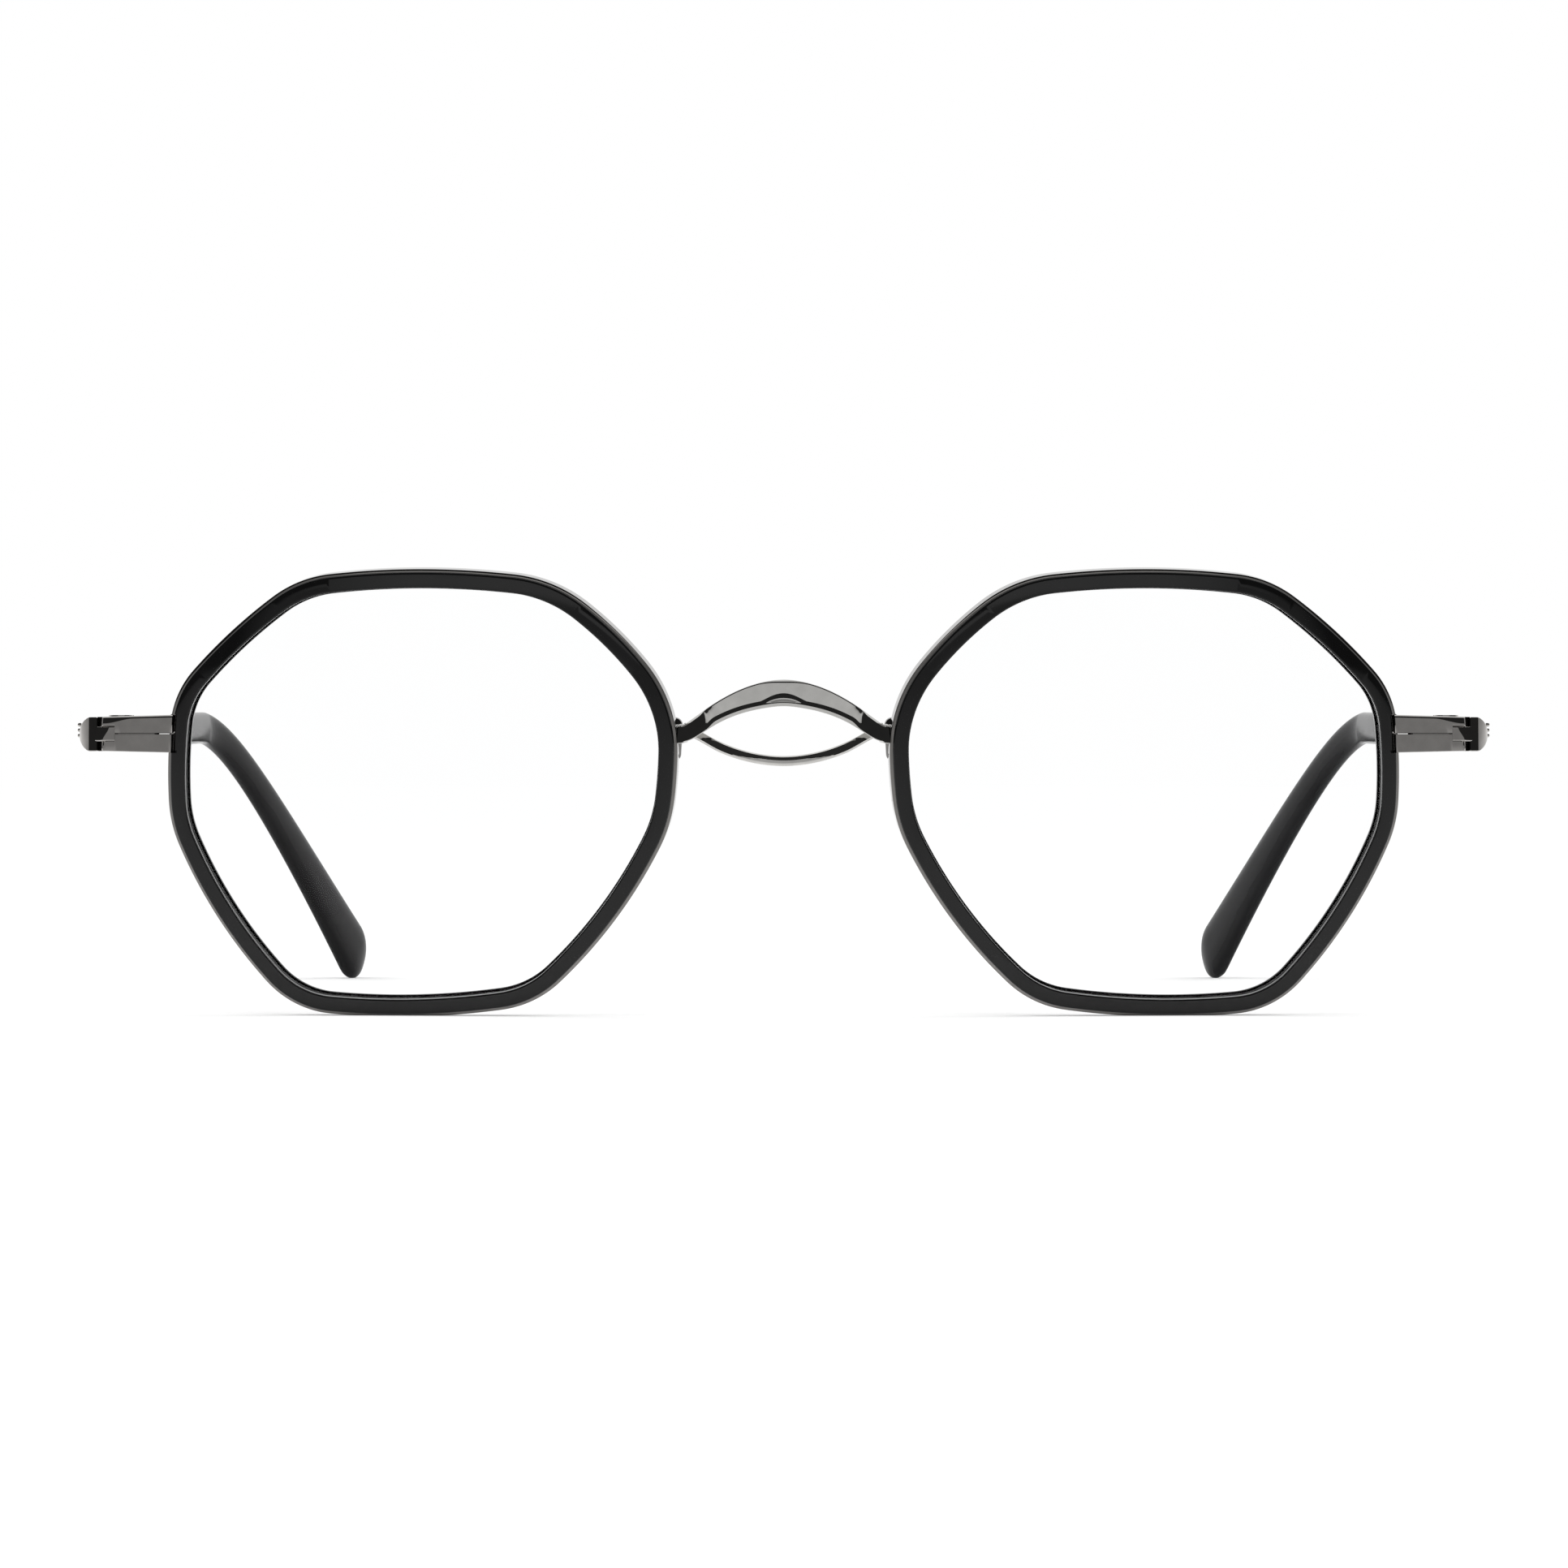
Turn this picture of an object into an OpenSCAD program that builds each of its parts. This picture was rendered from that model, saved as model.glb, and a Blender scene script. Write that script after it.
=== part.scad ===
// Geometric eyeglasses: eight-sided lenses in glossy inner rings, metal eyewires, a two-bar saddle
// bridge, clamped endpieces and folding temples with plastic tips.
// Millimetres. +Z is up, the wearer looks along -Y, and the glasses stand on their rims and tips.
// Left parts lie at +X, on the wearer's left. Right parts are their mirror images.

/* [Lenses] */
// Width of each lens
lens_w = 48; // [44:0.5:52]
// Height of each lens
lens_h = 41.8; // [37:0.2:46]
// Gap between the two lenses
lens_gap = 24; // [21:0.5:27]
// Thickness of each lens
lens_t = 1.4; // [1.2:0.05:1.6]
// Radius of the lens front surface
base_r = 130; // [100:5:260]
// How far each lens turns back at its outer side, in degrees
wrap = 4.5; // [1:0.5:7]
// How far the top of the front leans forward, in degrees
tilt = 7; // [4:0.5:9]

/* [Rims] */
// Width of the inner ring seen from the front
rim_w = 1.4; // [1.25:0.05:1.8]
// Depth of the inner ring from front to back
rim_d = 2.6; // [2.5:0.05:3.2]
// How far the inner ring covers the lens
lens_seat = 0.4; // [0.3:0.05:0.45]
// Depth of the lens front behind the front of the ring
lens_set = 0.65; // [0.55:0.05:0.75]
// Radius that softens the front of the inner ring
rim_round = 0.35; // [0.25:0.05:0.4]
// How far the eyewire stands out around the inner ring
wire_show = 0.3; // [0.2:0.05:0.5]
// Depth of the eyewire behind the front of the ring
wire_set = 0.45; // [0.35:0.05:0.6]
// Depth of the eyewire from front to back
wire_d = 2.1; // [1.8:0.05:2.1]
// Width of the rib that holds the eyewire in the ring
rib_w = 0.7; // [0.5:0.05:0.9]
// Depth of that rib
rib_d = 0.35; // [0.25:0.05:0.4]

/* [Bridge] */
// Height of the bridge ends and hinges above the lens centre, along the lens
hinge_up = 6; // [4:0.25:7]
// Rise of the upper bar from its ends to its crest
bar_rise = 4; // [2.5:0.25:5]
// Half the width of the arch between the level ends of the upper bar
bar_half = 9.5; // [8.5:0.25:10]
// Height of the upper bar at its crest
bar_h = 2.6; // [2:0.1:3]
// Height of the upper bar at its ends
bar_end_h = 1.5; // [1.3:0.05:1.8]
// Thickness of the upper bar from front to back
bar_t = 1.5; // [1.2:0.05:1.7]
// How far the crest stands in front of the bar ends
bar_forward = 2.4; // [1:0.2:3.4]
// Drop of the saddle below the bar ends
saddle_drop = 2.85; // [2:0.05:4]
// Diameter of the saddle wire
saddle_d = 0.95; // [0.8:0.05:1.1]
// How far the saddle bows back towards the nose
saddle_back = 0.7; // [0:0.1:2]
// Height of the oval lug that carries each end of the saddle
lug_h = 4.4; // [3.6:0.1:5]
// Width of the lug
lug_w = 1.6; // [1.4:0.05:2]
// Thickness of the lug
lug_t = 0.7; // [0.5:0.05:1]

/* [Endpieces] */
// Length of the endpiece from the eyewire to its outer end
end_len = 7.3; // [6.8:0.1:9]
// How far the hinge pin lies inside the outer end of the endpiece
pin_inset = 1.7; // [1.5:0.05:1.8]
// Height of the endpiece at the rim
end_h = 3.75; // [3.5:0.05:4.2]
// Height of the endpiece at its outer end, of the hinge and of the temple there
hinge_h = 3.4; // [3.2:0.05:3.5]
// Thickness of the endpiece plate
end_t = 1.3; // [1:0.05:1.6]
// Depth of the clamp block behind the plate's front
block_d = 2.8; // [2.7:0.05:3]
// Turn of the endpiece back from the front, in degrees
end_sweep = 8; // [4:0.5:12]
// How far the endpiece laps over the inner ring
end_lap = 0.5; // [0.4:0.05:0.8]
// How far the endpiece stands in front of the ring
end_proud = 0.15; // [0.1:0.05:0.3]
// Width of the saw cut that lets the clamp open
slit_w = 0.14; // [0.1:0.02:0.2]
// Bevel along the front edges of the endpiece
bevel = 0.4; // [0.2:0.05:0.5]
// Height of the middle hinge knuckle
knuckle_h = 1.2; // [1:0.05:1.4]
// Outer radius of the hinge knuckles
knuckle_r = 1.4; // [1.3:0.05:1.5]
// Gap between the hinge knuckles
hinge_gap = 0.12; // [0.1:0.01:0.16]
// Length of the saw cuts that free the middle knuckle from the plate
fork_len = 1.7; // [1.4:0.05:1.8]

/* [Screws] */
// Shank radius of the hinge screws
hinge_screw_r = 0.55; // [0.45:0.05:0.6]
// Shank radius of the clamp screws
clamp_screw_r = 0.6; // [0.5:0.05:0.65]
// Head radius of the clamp screws
head_r = 0.95; // [0.85:0.05:1]
// Head radius of the hinge screws
hinge_head_r = 1.25; // [1:0.05:1.3]
// Height of the screw heads
head_t = 0.45; // [0.35:0.05:0.5]
// How far the heads of the hinge screws stand above the endpiece
head_proud = 0.18; // [0.1:0.02:0.24]

/* [Temples] */
// Length of the straight part of each temple from the pin
straight_len = 84.5; // [77:0.5:92]
// Length that the bent part covers from front to back
drop_run = 46; // [40:0.5:52]
// Sharpness of the bend, smaller is sharper
bend_soft = 0.28; // [0.2:0.01:0.6]
// How far the tips tuck in towards the head
tuck = 13; // [9:0.5:15]
// Inward slope of the straight part, in degrees
splay = 2.4; // [1.5:0.1:4]
// Upward slope of the straight part, in degrees
rise = 0.9; // [0:0.1:1.5]
// Thickness of the metal temple at the hinge
temple_t = 1.8; // [1.6:0.05:2]
// Thickness of the metal temple where the tip begins
temple_end_t = 1.4; // [1.2:0.05:1.6]
// Height of the metal temple where the tip begins
temple_h = 3.2; // [2.8:0.1:3.4]
// Distance from the pin to the front end of the tip sleeve
sleeve_at = 62; // [50:1:70]
// Height of the tip sleeve before the bend
tip_h = 3.5; // [3.4:0.1:4.2]
// Thickness of the tip sleeve before the bend
tip_t = 2; // [1.9:0.1:2.8]
// Height of the paddle at the end of the tip
paddle_h = 7.2; // [5:0.1:8]
// Thickness of the paddle
paddle_t = 2.4; // [2.2:0.1:3.4]
// Radius of the core wire inside the tip
core_r = 0.55; // [0.45:0.05:0.6]
// Radius of the three small rivets on each temple
rivet_r = 0.18; // [0.14:0.02:0.2]
// Distance between the rivets
rivet_pitch = 0.54; // [0.48:0.02:0.6]
// Distance from the pin to the rivets
rivet_at = 3; // [2.6:0.1:4]

/* [Hidden] */
$fn = 48;

// Play between pieces that are clamped or pressed together
seat_play = 0.04;
// Gap at the brazed joints of the saddle
braze_gap = 0.14;
// Length that reaches past every piece near the rim
past = 12;
// Running clearance of the hinge screw in its knuckles
run_play = 0.04;
// Room around the screw heads
head_play = 0.05;

// Sides of the left lens: direction in degrees, reach from the centre, bow radius of the side,
// and radius of the corner that follows. The shape is then stretched to lens_w by lens_h.
lens_sides = [[-2, 24.0, 52, 8],
              [54, 23.0, 53, 10.5],
              [90, 20.9, 78, 12.5],
              [123, 23.5, 35, 12.5],
              [194, 23.3, 45, 13],
              [220, 21.3, 48, 9],
              [267, 20.8, 80, 8],
              [327, 22.7, 49, 11]];
side_steps = 3;
corner_steps = 3;

function dir(a) = [cos(a), sin(a)];
function mix(a, b, t) = a + (b - a) * t;
function turn_to(a, b) = a + ((b - a + 540) % 360) - 180;

// Centre of the big arc that makes side s
function side_centre(s) = (s[1] - s[2]) * dir(s[0]);
// Centre of the corner arc that touches sides s and t from inside
function corner_centre(s, t) =
    let (p = side_centre(s),
         q = side_centre(t),
         d = norm(q - p),
         rp = s[2] - s[3],
         rq = t[2] - s[3],
         x = (d * d + rp * rp - rq * rq) / (2 * d),
         h = sqrt(max(0, rp * rp - x * x)),
         e = (q - p) / d)
    p + x * e + h * [-e[1], e[0]];
function bearing(p) = atan2(p[1], p[0]);
function corner_of(i) = corner_centre(lens_sides[i], lens_sides[(i + 1) % len(lens_sides)]);
// Arc points as [x, z, direction of the outward normal]
function arc_points(c, r, a0, a1, n) =
    [for (k = [0 : n - 1])
        let (a = mix(a0, turn_to(a0, a1), k / n))
        [c[0] + r * cos(a), c[1] + r * sin(a), a]];
function raw_side(i) =
    let (n = len(lens_sides),
         s = lens_sides[i],
         c = side_centre(s),
         before = corner_of((i + n - 1) % n),
         after = corner_of(i),
         next_c = side_centre(lens_sides[(i + 1) % n]))
    concat(arc_points(c, s[2], bearing(before - c), bearing(after - c), side_steps),
           arc_points(after, s[3], bearing(after - c), bearing(after - next_c), corner_steps));
raw = [for (i = [0 : len(lens_sides) - 1]) each raw_side(i)];
raw_low = [min([for (p = raw) p[0]]), min([for (p = raw) p[1]])];
raw_high = [max([for (p = raw) p[0]]), max([for (p = raw) p[1]])];
stretch = [lens_w / (raw_high[0] - raw_low[0]), lens_h / (raw_high[1] - raw_low[1])];
stations = len(raw);
// Unit normal at station i of the stretched outline
function out_normal(i) =
    let (n = [cos(raw[i][2]) / stretch[0], sin(raw[i][2]) / stretch[1]])
    n / norm(n);
// Outline of the lens, and the point at station i moved outwards by off
outline = [for (p = raw)
    [(p[0] - (raw_low[0] + raw_high[0]) / 2) * stretch[0],
     (p[1] - (raw_low[1] + raw_high[1]) / 2) * stretch[1]]];
function edge(i, off) = outline[i] + off * out_normal(i);
function ring_line(off) = [for (i = [0 : stations - 1]) edge(i, off)];
// Depth of the lens curve behind its centre
function sag(p) = (p[0] * p[0] + p[1] * p[1]) / (2 * base_r);
// Widest x of the outline at height z, on the outer or the nose side
function edge_x(z, off, outer) =
    let (line = ring_line(off),
         hits = [for (i = [0 : stations - 1])
             let (a = line[i], b = line[(i + 1) % stations])
             if ((a[1] - z) * (b[1] - z) <= 0 && a[1] != b[1])
             mix(a[0], b[0], (z - a[1]) / (b[1] - a[1]))])
    outer ? max(hits) : min(hits);

// A point of the left lens frame, [x outwards, depth, height], in the frame of the glasses
lens_x = (lens_w + lens_gap) / 2;
function place(p) =
    let (y = p[1] * cos(tilt) - p[2] * sin(tilt),
         z = p[1] * sin(tilt) + p[2] * cos(tilt))
    [lens_x + p[0] * cos(wrap) - y * sin(wrap), p[0] * sin(wrap) + y * cos(wrap), z];
module place_lens() {
    translate([lens_x, 0, 0]) rotate([0, 0, wrap]) rotate([tilt, 0, 0]) children();
}

// Sections of the rims as [offset from the lens outline, depth]
ring_in = -lens_seat;
ring_out = ring_in + rim_w;
wire_out = ring_out + wire_show;
wire_back = wire_set + wire_d;
rib_mid = wire_set + wire_d / 2;
groove_floor = ring_out - rib_d;
bevel_mid = lens_set + lens_t / 2;
lens_play = 0.06;
groove_in = lens_t / 2 + lens_play / 2;
back_round = 0.2;
wire_round = 0.12;
// Gap between the eyewire and what laps in front of it
lip_gap = 0.1;
ring_section = [[ring_in, rim_round],
                [ring_in + rim_round * 0.3, rim_round * 0.3],
                [ring_in + rim_round, 0],
                [ring_out - rim_round, 0],
                [ring_out - rim_round * 0.3, rim_round * 0.3],
                [ring_out, rim_round],
                [ring_out, rib_mid - rib_w / 2 - seat_play],
                [groove_floor, rib_mid - rib_w / 2 - seat_play],
                [groove_floor, rib_mid + rib_w / 2 + seat_play],
                [ring_out, rib_mid + rib_w / 2 + seat_play],
                [ring_out, rim_d - back_round],
                [ring_out - back_round, rim_d],
                [ring_in + back_round, rim_d],
                [ring_in, rim_d - back_round],
                [ring_in, bevel_mid + groove_in],
                [lens_play, bevel_mid],
                [ring_in, bevel_mid - groove_in]];
wire_section = [[ring_out + seat_play, wire_set],
                [wire_out - wire_round, wire_set],
                [wire_out, wire_set + wire_round],
                [wire_out, wire_back - wire_round],
                [wire_out - wire_round, wire_back],
                [ring_out + seat_play, wire_back],
                [ring_out + seat_play, rib_mid + rib_w / 2],
                [groove_floor + seat_play, rib_mid + rib_w / 2],
                [groove_floor + seat_play, rib_mid - rib_w / 2],
                [ring_out + seat_play, rib_mid - rib_w / 2]];

// Triangles between rings a and b of n points each
function band(a, b, n) =
    [for (j = [0 : n - 1])
        let (k = (j + 1) % n)
        each [[a * n + j, b * n + j, b * n + k], [a * n + j, b * n + k, a * n + k]]];
function fan(first, n, flip) =
    [for (j = [1 : n - 2])
        flip ? [first, first + j + 1, first + j] : [first, first + j, first + j + 1]];

// Solid through a list of rings, closed into a loop or capped at both ends
module skin(rings, loop) {
    n = len(rings[0]);
    m = len(rings);
    walls = [for (i = [0 : m - (loop ? 1 : 2)]) each band(i, (i + 1) % m, n)];
    caps = loop ? [] : concat(fan(0, n, false), fan((m - 1) * n, n, true));
    polyhedron(points = [for (r = rings) each r], faces = concat(walls, caps));
}
// Section carried round the lens outline on the lens curve
function rim_rings(section) =
    [for (i = [0 : stations - 1])
        [for (s = section)
            let (p = edge(i, s[0]))
            [p[0], s[1] + sag(p), p[1]]]];
// Straight prism of the outline, from depth y0 to y1, to trim what meets the rim
module outline_prism(off, y0, y1) {
    translate([0, y1, 0]) rotate([90, 0, 0]) linear_extrude(height = y1 - y0) polygon(ring_line(off));
}

// Anchors on the rim, in the frame of the glasses
outer_edge = [edge_x(hinge_up, wire_out, true), hinge_up];
nose_edge = [edge_x(hinge_up, wire_out, false), hinge_up];
end_anchor = place([outer_edge[0], sag(outer_edge) - end_proud, hinge_up]);
nose_anchor = place([nose_edge[0], sag(nose_edge), hinge_up]);

// Endpiece frame: origin at the hinge pin, x outwards along the plate, y back
plate_gap = 0.15;
plate_front = -(knuckle_r + plate_gap + end_t);
pin_len = end_len - pin_inset;
pin = end_anchor + [pin_len * cos(end_sweep) + plate_front * sin(end_sweep),
                    pin_len * sin(end_sweep) - plate_front * cos(end_sweep),
                    0];
module place_end() {
    translate(pin) rotate([0, 0, end_sweep]) children();
}
block_end = -knuckle_r - 0.35;
clamp_at = [(block_end + 0.1 - pin_len) / 2, plate_front + block_d * 0.55];
fork_root = pin_inset - fork_len;
inner_x = pin_inset + 0.5;
tongue_end = pin_inset - 0.2;
tongue_r = 1.2;

// Temple path: its centre line as a function of the distance y behind the pin
path_x0 = inner_x + temple_t / 2;
tuck_soft = 0.08;
function ease(t, k) = (sqrt(t * t + k * k) - k) / (sqrt(1 + k * k) - k);
function bent(y) = max(0, (y - straight_len) / drop_run);
function path_x(y) = path_x0 - y * tan(splay) - tuck * ease(bent(y), tuck_soft);
function path_z(y, drop) = min(y, straight_len) * tan(rise) - drop * ease(bent(y), bend_soft);
function path(y, drop) = [path_x(y), y, path_z(y, drop)];
// Frame of the path at y: sideways axis and upright axis
function tangent(y, drop) =
    let (d = path(y + 0.05, drop) - path(y - 0.05, drop))
    d / norm(d);
function unit(v) = v / norm(v);
function side_axis(y, drop) = unit(cross(tangent(y, drop), [0, 0, 1]));
function up_axis(y, drop) = cross(side_axis(y, drop), tangent(y, drop));
// Ring of a section of points [sideways, up] round the path at y
function path_ring(y, section, drop) =
    let (c = path(y, drop), s = side_axis(y, drop), u = up_axis(y, drop))
    [for (i = [len(section) - 1 : -1 : 0]) c + section[i][0] * s + section[i][1] * u];

// Superellipse section of the tip, t wide and h high
tip_sides = 12;
function tip_section(t, h) =
    [for (j = [0 : tip_sides - 1])
        let (a = 360 * (j + 0.5) / tip_sides, c = cos(a), s = sin(a))
        [t / 2 * sign(c) * pow(abs(c), 0.8), h / 2 * sign(s) * pow(abs(s), 0.8)]];
// Tip size from its front end at f = 0 to the end of the paddle at f = 1
tip_end = straight_len + drop_run;
tip_steps = 26;
swell_from = 0.36;
round_from = 0.955;
function swell(f) = pow(max(0, (f - swell_from) / (1 - swell_from)), 2.2);
function end_round(f) = f < round_from ? 1 : sqrt(max(0.01, 1 - pow((f - round_from) / (1 - round_from), 2)));
function tip_width(f) = mix(tip_t, paddle_t, swell(f)) * end_round(f);
function tip_height(f) = mix(tip_h, paddle_h, swell(f)) * end_round(f);
// Rings stand closer together towards the end
function tip_rings(drop) =
    [for (i = [0 : tip_steps])
        let (t = i / tip_steps,
             f = 1 - (1 - t) * (1 - 0.8 * pow(t, 6)))
        path_ring(mix(sleeve_at, tip_end, f), tip_section(tip_width(f), tip_height(f)), drop)];
// Drop of the path that lands the paddle on the level of the rims
rim_low = min([for (i = [0 : stations - 1])
    let (p = edge(i, wire_out)) place([p[0], wire_set + wire_round + sag(p), p[1]])[2]]);
function lowest(rings) = min([for (r = rings) each [for (p = r) p[2]]]);
first_drop = pin[2] - rim_low;
second_drop = first_drop + lowest(tip_rings(first_drop)) + pin[2] - rim_low;
drop = second_drop + lowest(tip_rings(second_drop)) + pin[2] - rim_low;

// The whole part is moved so that its box is centred on the origin and stands at z = 0
bar_front = nose_anchor[1] + wire_set + wire_d / 2 - bar_forward - bar_t * 0.6;
ring_front = min([for (i = [0 : stations - 1])
    let (p = edge(i, ring_out - rim_round)) place([p[0], sag(p), p[1]])[1]]);
back_end = pin[1] + max([for (r = tip_rings(drop)) each [for (p = r) p[1]]]);
shift = [0, -(min(bar_front, ring_front) + back_end) / 2, -rim_low];
module seat(right = false) {
    translate(shift) mirror([right ? 1 : 0, 0, 0]) children();
}

// Lens: a meniscus with a pointed bevel round its edge
lens_bevel = 0.45;
module lens(right) {
    half = [for (k = [0 : 2]) (k + 1) / 3];
    function face_ring(f, depth) =
        [for (i = [0 : stations - 1])
            let (p = f * edge(i, -lens_bevel))
            [p[0], depth + sag(p), p[1]]];
    apex = [for (i = [0 : stations - 1])
        let (p = outline[i])
        [p[0], bevel_mid + sag(p), p[1]]];
    rings = [for (f = half) face_ring(f, lens_set + lens_t),
             apex,
             for (k = [2 : -1 : 0]) face_ring(half[k], lens_set)];
    n = stations;
    m = len(rings);
    back = [for (j = [0 : n - 1]) [m * n, j, (j + 1) % n]];
    front = [for (j = [0 : n - 1]) [m * n + 1, (m - 1) * n + (j + 1) % n, (m - 1) * n + j]];
    walls = [for (i = [0 : m - 2]) each band(i, i + 1, n)];
    points = concat([for (r = rings) each r], [[0, lens_set + lens_t, 0], [0, lens_set, 0]]);
    color([0.9, 0.94, 0.96, 0.3])
    seat(right) place_lens() polyhedron(points = points, faces = concat(front, walls, back));
}

// Inner ring: glossy plastic with a lens groove inside, an eyewire groove outside and a notch
// for the lip of the endpiece
module rim_insert(right) {
    notch_h = end_h + 2 * seat_play;
    notch_back = wire_set - lip_gap + seat_play;
    color([0.06, 0.06, 0.065])
    seat(right) difference() {
        place_lens() skin(rim_rings(ring_section), true);
        difference() {
            translate(end_anchor - [past, past, notch_h] / 2) cube([past, past, notch_h]);
            place_lens() outline_prism(ring_out - end_lap, -past, past);
            place_lens() translate([outer_edge[0] - past, sag(outer_edge) + notch_back, hinge_up - past])
            cube(2 * past);
        }
    }
}

// Eyewire: a metal band with an inner rib, cut through inside the clamp
module eyewire(right) {
    color([0.36, 0.35, 0.34])
    seat(right) difference() {
        place_lens() skin(rim_rings(wire_section), true);
        translate(end_anchor - [past, past, slit_w] / 2) cube([past, past, slit_w]);
    }
}

// What the eyewire and the ring take out of a piece that meets the rim
module rim_room(lap) {
    lip_back = sag(outer_edge) + wire_set - lip_gap;
    place_lens() outline_prism(ring_out - lap + seat_play, -past, past);
    place_lens() outline_prism(wire_out + seat_play, lip_back, past);
}

// Endpiece: a sawn clamp block with a plate, and the middle hinge knuckle behind its outer end
module endpiece(right) {
    long = pin_len + past / 5;
    color([0.42, 0.41, 0.39])
    seat(right) difference() {
        place_end() {
            difference() {
                union() {
                    end_plate(long, pin_inset, end_t);
                    end_plate(long, block_end, block_d);
                }
                fork_cut();
                bevel_cut(1, bevel);
                bevel_cut(-1, bevel / 2);
                translate([fork_root - past, plate_front - past / 2, -slit_w / 2])
                cube([past, past, slit_w]);
            }
            translate([0, 0, -knuckle_h / 2]) linear_extrude(height = knuckle_h) tongue();
        }
        rim_room(end_lap);
        end_cut();
        place_end() {
            cylinder(h = 2 * end_h, r = hinge_screw_r + run_play, center = true);
            translate([clamp_at[0], clamp_at[1], 0]) {
                cylinder(h = 2 * end_h, r = clamp_screw_r + seat_play, center = true);
                translate([0, 0, clamp_top - head_t]) cylinder(h = end_h, r = head_r + head_play);
            }
        }
    }
}
// Half height of the endpiece at x in its own frame
function end_half(x) = mix(hinge_h, end_h, min(1, (pin_inset - x) / end_len)) / 2;
clamp_top = end_half(clamp_at[0]) - bevel / 2;
// Plate or block from beyond the rim to x1
module end_plate(long, x1, depth) {
    translate([0, plate_front + depth, 0]) rotate([90, 0, 0]) linear_extrude(height = depth)
    polygon([[-long, -end_h / 2],
             [-pin_len, -end_h / 2],
             [x1, -end_half(x1)],
             [x1, end_half(x1)],
             [-pin_len, end_h / 2],
             [-long, end_h / 2]]);
}
// Bevel of width b along the upper (s = 1) or lower (s = -1) front edge
module bevel_cut(s, b) {
    slope = atan((end_h - hinge_h) / 2 / end_len);
    translate([pin_inset, plate_front, s * hinge_h / 2]) rotate([0, s * slope, 0]) rotate([45, 0, 0])
    cube([3 * end_len, b * sqrt(2), b * sqrt(2)], center = true);
}
// The outer end stands square to the glasses, and so parallel to the temple beside it
module end_cut() {
    translate([pin[0] + pin_inset, -past, -past]) cube(2 * past);
}
// Room for the tongue and for the saw cuts above and below it
module fork_cut() {
    room = knuckle_h + 2 * hinge_gap;
    translate([fork_root, plate_front - past / 2, -room / 2]) cube([past, past, room]);
}
// Plan of the tongue that curls back from the plate to the middle knuckle
module tongue() {
    flat = tongue_end - tongue_r;
    circle(r = knuckle_r);
    translate([-knuckle_r, plate_front]) square([flat + knuckle_r, end_t]);
    translate([0, plate_front + tongue_r]) square([tongue_end, -plate_front - tongue_r]);
    translate([flat, plate_front + tongue_r]) circle(r = tongue_r);
}

// Slotted screw with its head on top, from z = bottom to z = top
module screw(shank, head, top, bottom) {
    slot_w = 0.22;
    difference() {
        union() {
            translate([0, 0, bottom]) cylinder(h = top - bottom, r = shank);
            translate([0, 0, top - head_t + head_play]) cylinder(h = head_t - head_play, r = head);
        }
        translate([-2 * head, -slot_w / 2, top - head_t * 0.35]) cube([4 * head, slot_w, head_t]);
    }
}
module clamp_screw(right) {
    color([0.5, 0.49, 0.47])
    seat(right) place_end() translate([clamp_at[0], clamp_at[1], 0])
    screw(clamp_screw_r, head_r, clamp_top, 0.3 - end_half(clamp_at[0]));
}
hinge_top = hinge_h / 2 + head_proud;
module hinge_screw(right) {
    color([0.5, 0.49, 0.47])
    seat(right) place_end() screw(hinge_screw_r, hinge_head_r, hinge_top, 0.2 - hinge_h / 2);
}

// Upper bridge bar: an arch with a domed front, bowed forward and wider at its crest
bar_steps = 26;
function arch(x, half) = let (a = 1 - pow(x / half, 2)) (a + sqrt(a * a + 0.02)) / 2;
bar_y0 = nose_anchor[1] + wire_set + wire_d / 2;
bar_reach = nose_anchor[0] + 0.4;
function bar_point(x) =
    [x, bar_y0 - bar_forward * pow(arch(x, bar_reach), 0.8), nose_anchor[2] + bar_rise * arch(x, bar_half)];
function bar_section(x) =
    let (h = mix(bar_end_h, bar_h, arch(x, bar_reach)), t = bar_t)
    [[0.5 * h, 0], [0.44 * h, -0.34 * t], [0.3 * h, -0.54 * t], [0, -0.6 * t],
     [-0.3 * h, -0.54 * t], [-0.44 * h, -0.34 * t], [-0.5 * h, 0], [-0.4 * h, 0.3 * t],
     [-0.15 * h, 0.4 * t], [0.15 * h, 0.4 * t], [0.4 * h, 0.3 * t]];
function bar_ring(x) =
    let (d = unit(bar_point(x + 0.05) - bar_point(x - 0.05)),
         up = unit(cross(d, [0, 1, 0])),
         n = up[2] < 0 ? -up : up,
         back = cross(n, d))
    [for (p = bar_section(x)) bar_point(x) + p[0] * n + p[1] * back];
module bridge_bar() {
    color([0.55, 0.55, 0.53])
    seat() difference() {
        skin([for (i = [0 : bar_steps]) bar_ring(mix(-bar_reach, bar_reach, i / bar_steps))], false);
        for (s = [0, 1]) mirror([s, 0, 0]) nose_room();
    }
}
module nose_room() {
    lip_back = sag(nose_edge) + wire_set - lip_gap;
    place_lens() outline_prism(ring_out + seat_play, -past, past);
    place_lens() outline_prism(wire_out + seat_play, lip_back, past);
}

// Saddle: the lower wire, which rests on the nose
lug_u = nose_edge[0] - 0.5 + lug_w / 2;
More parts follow.
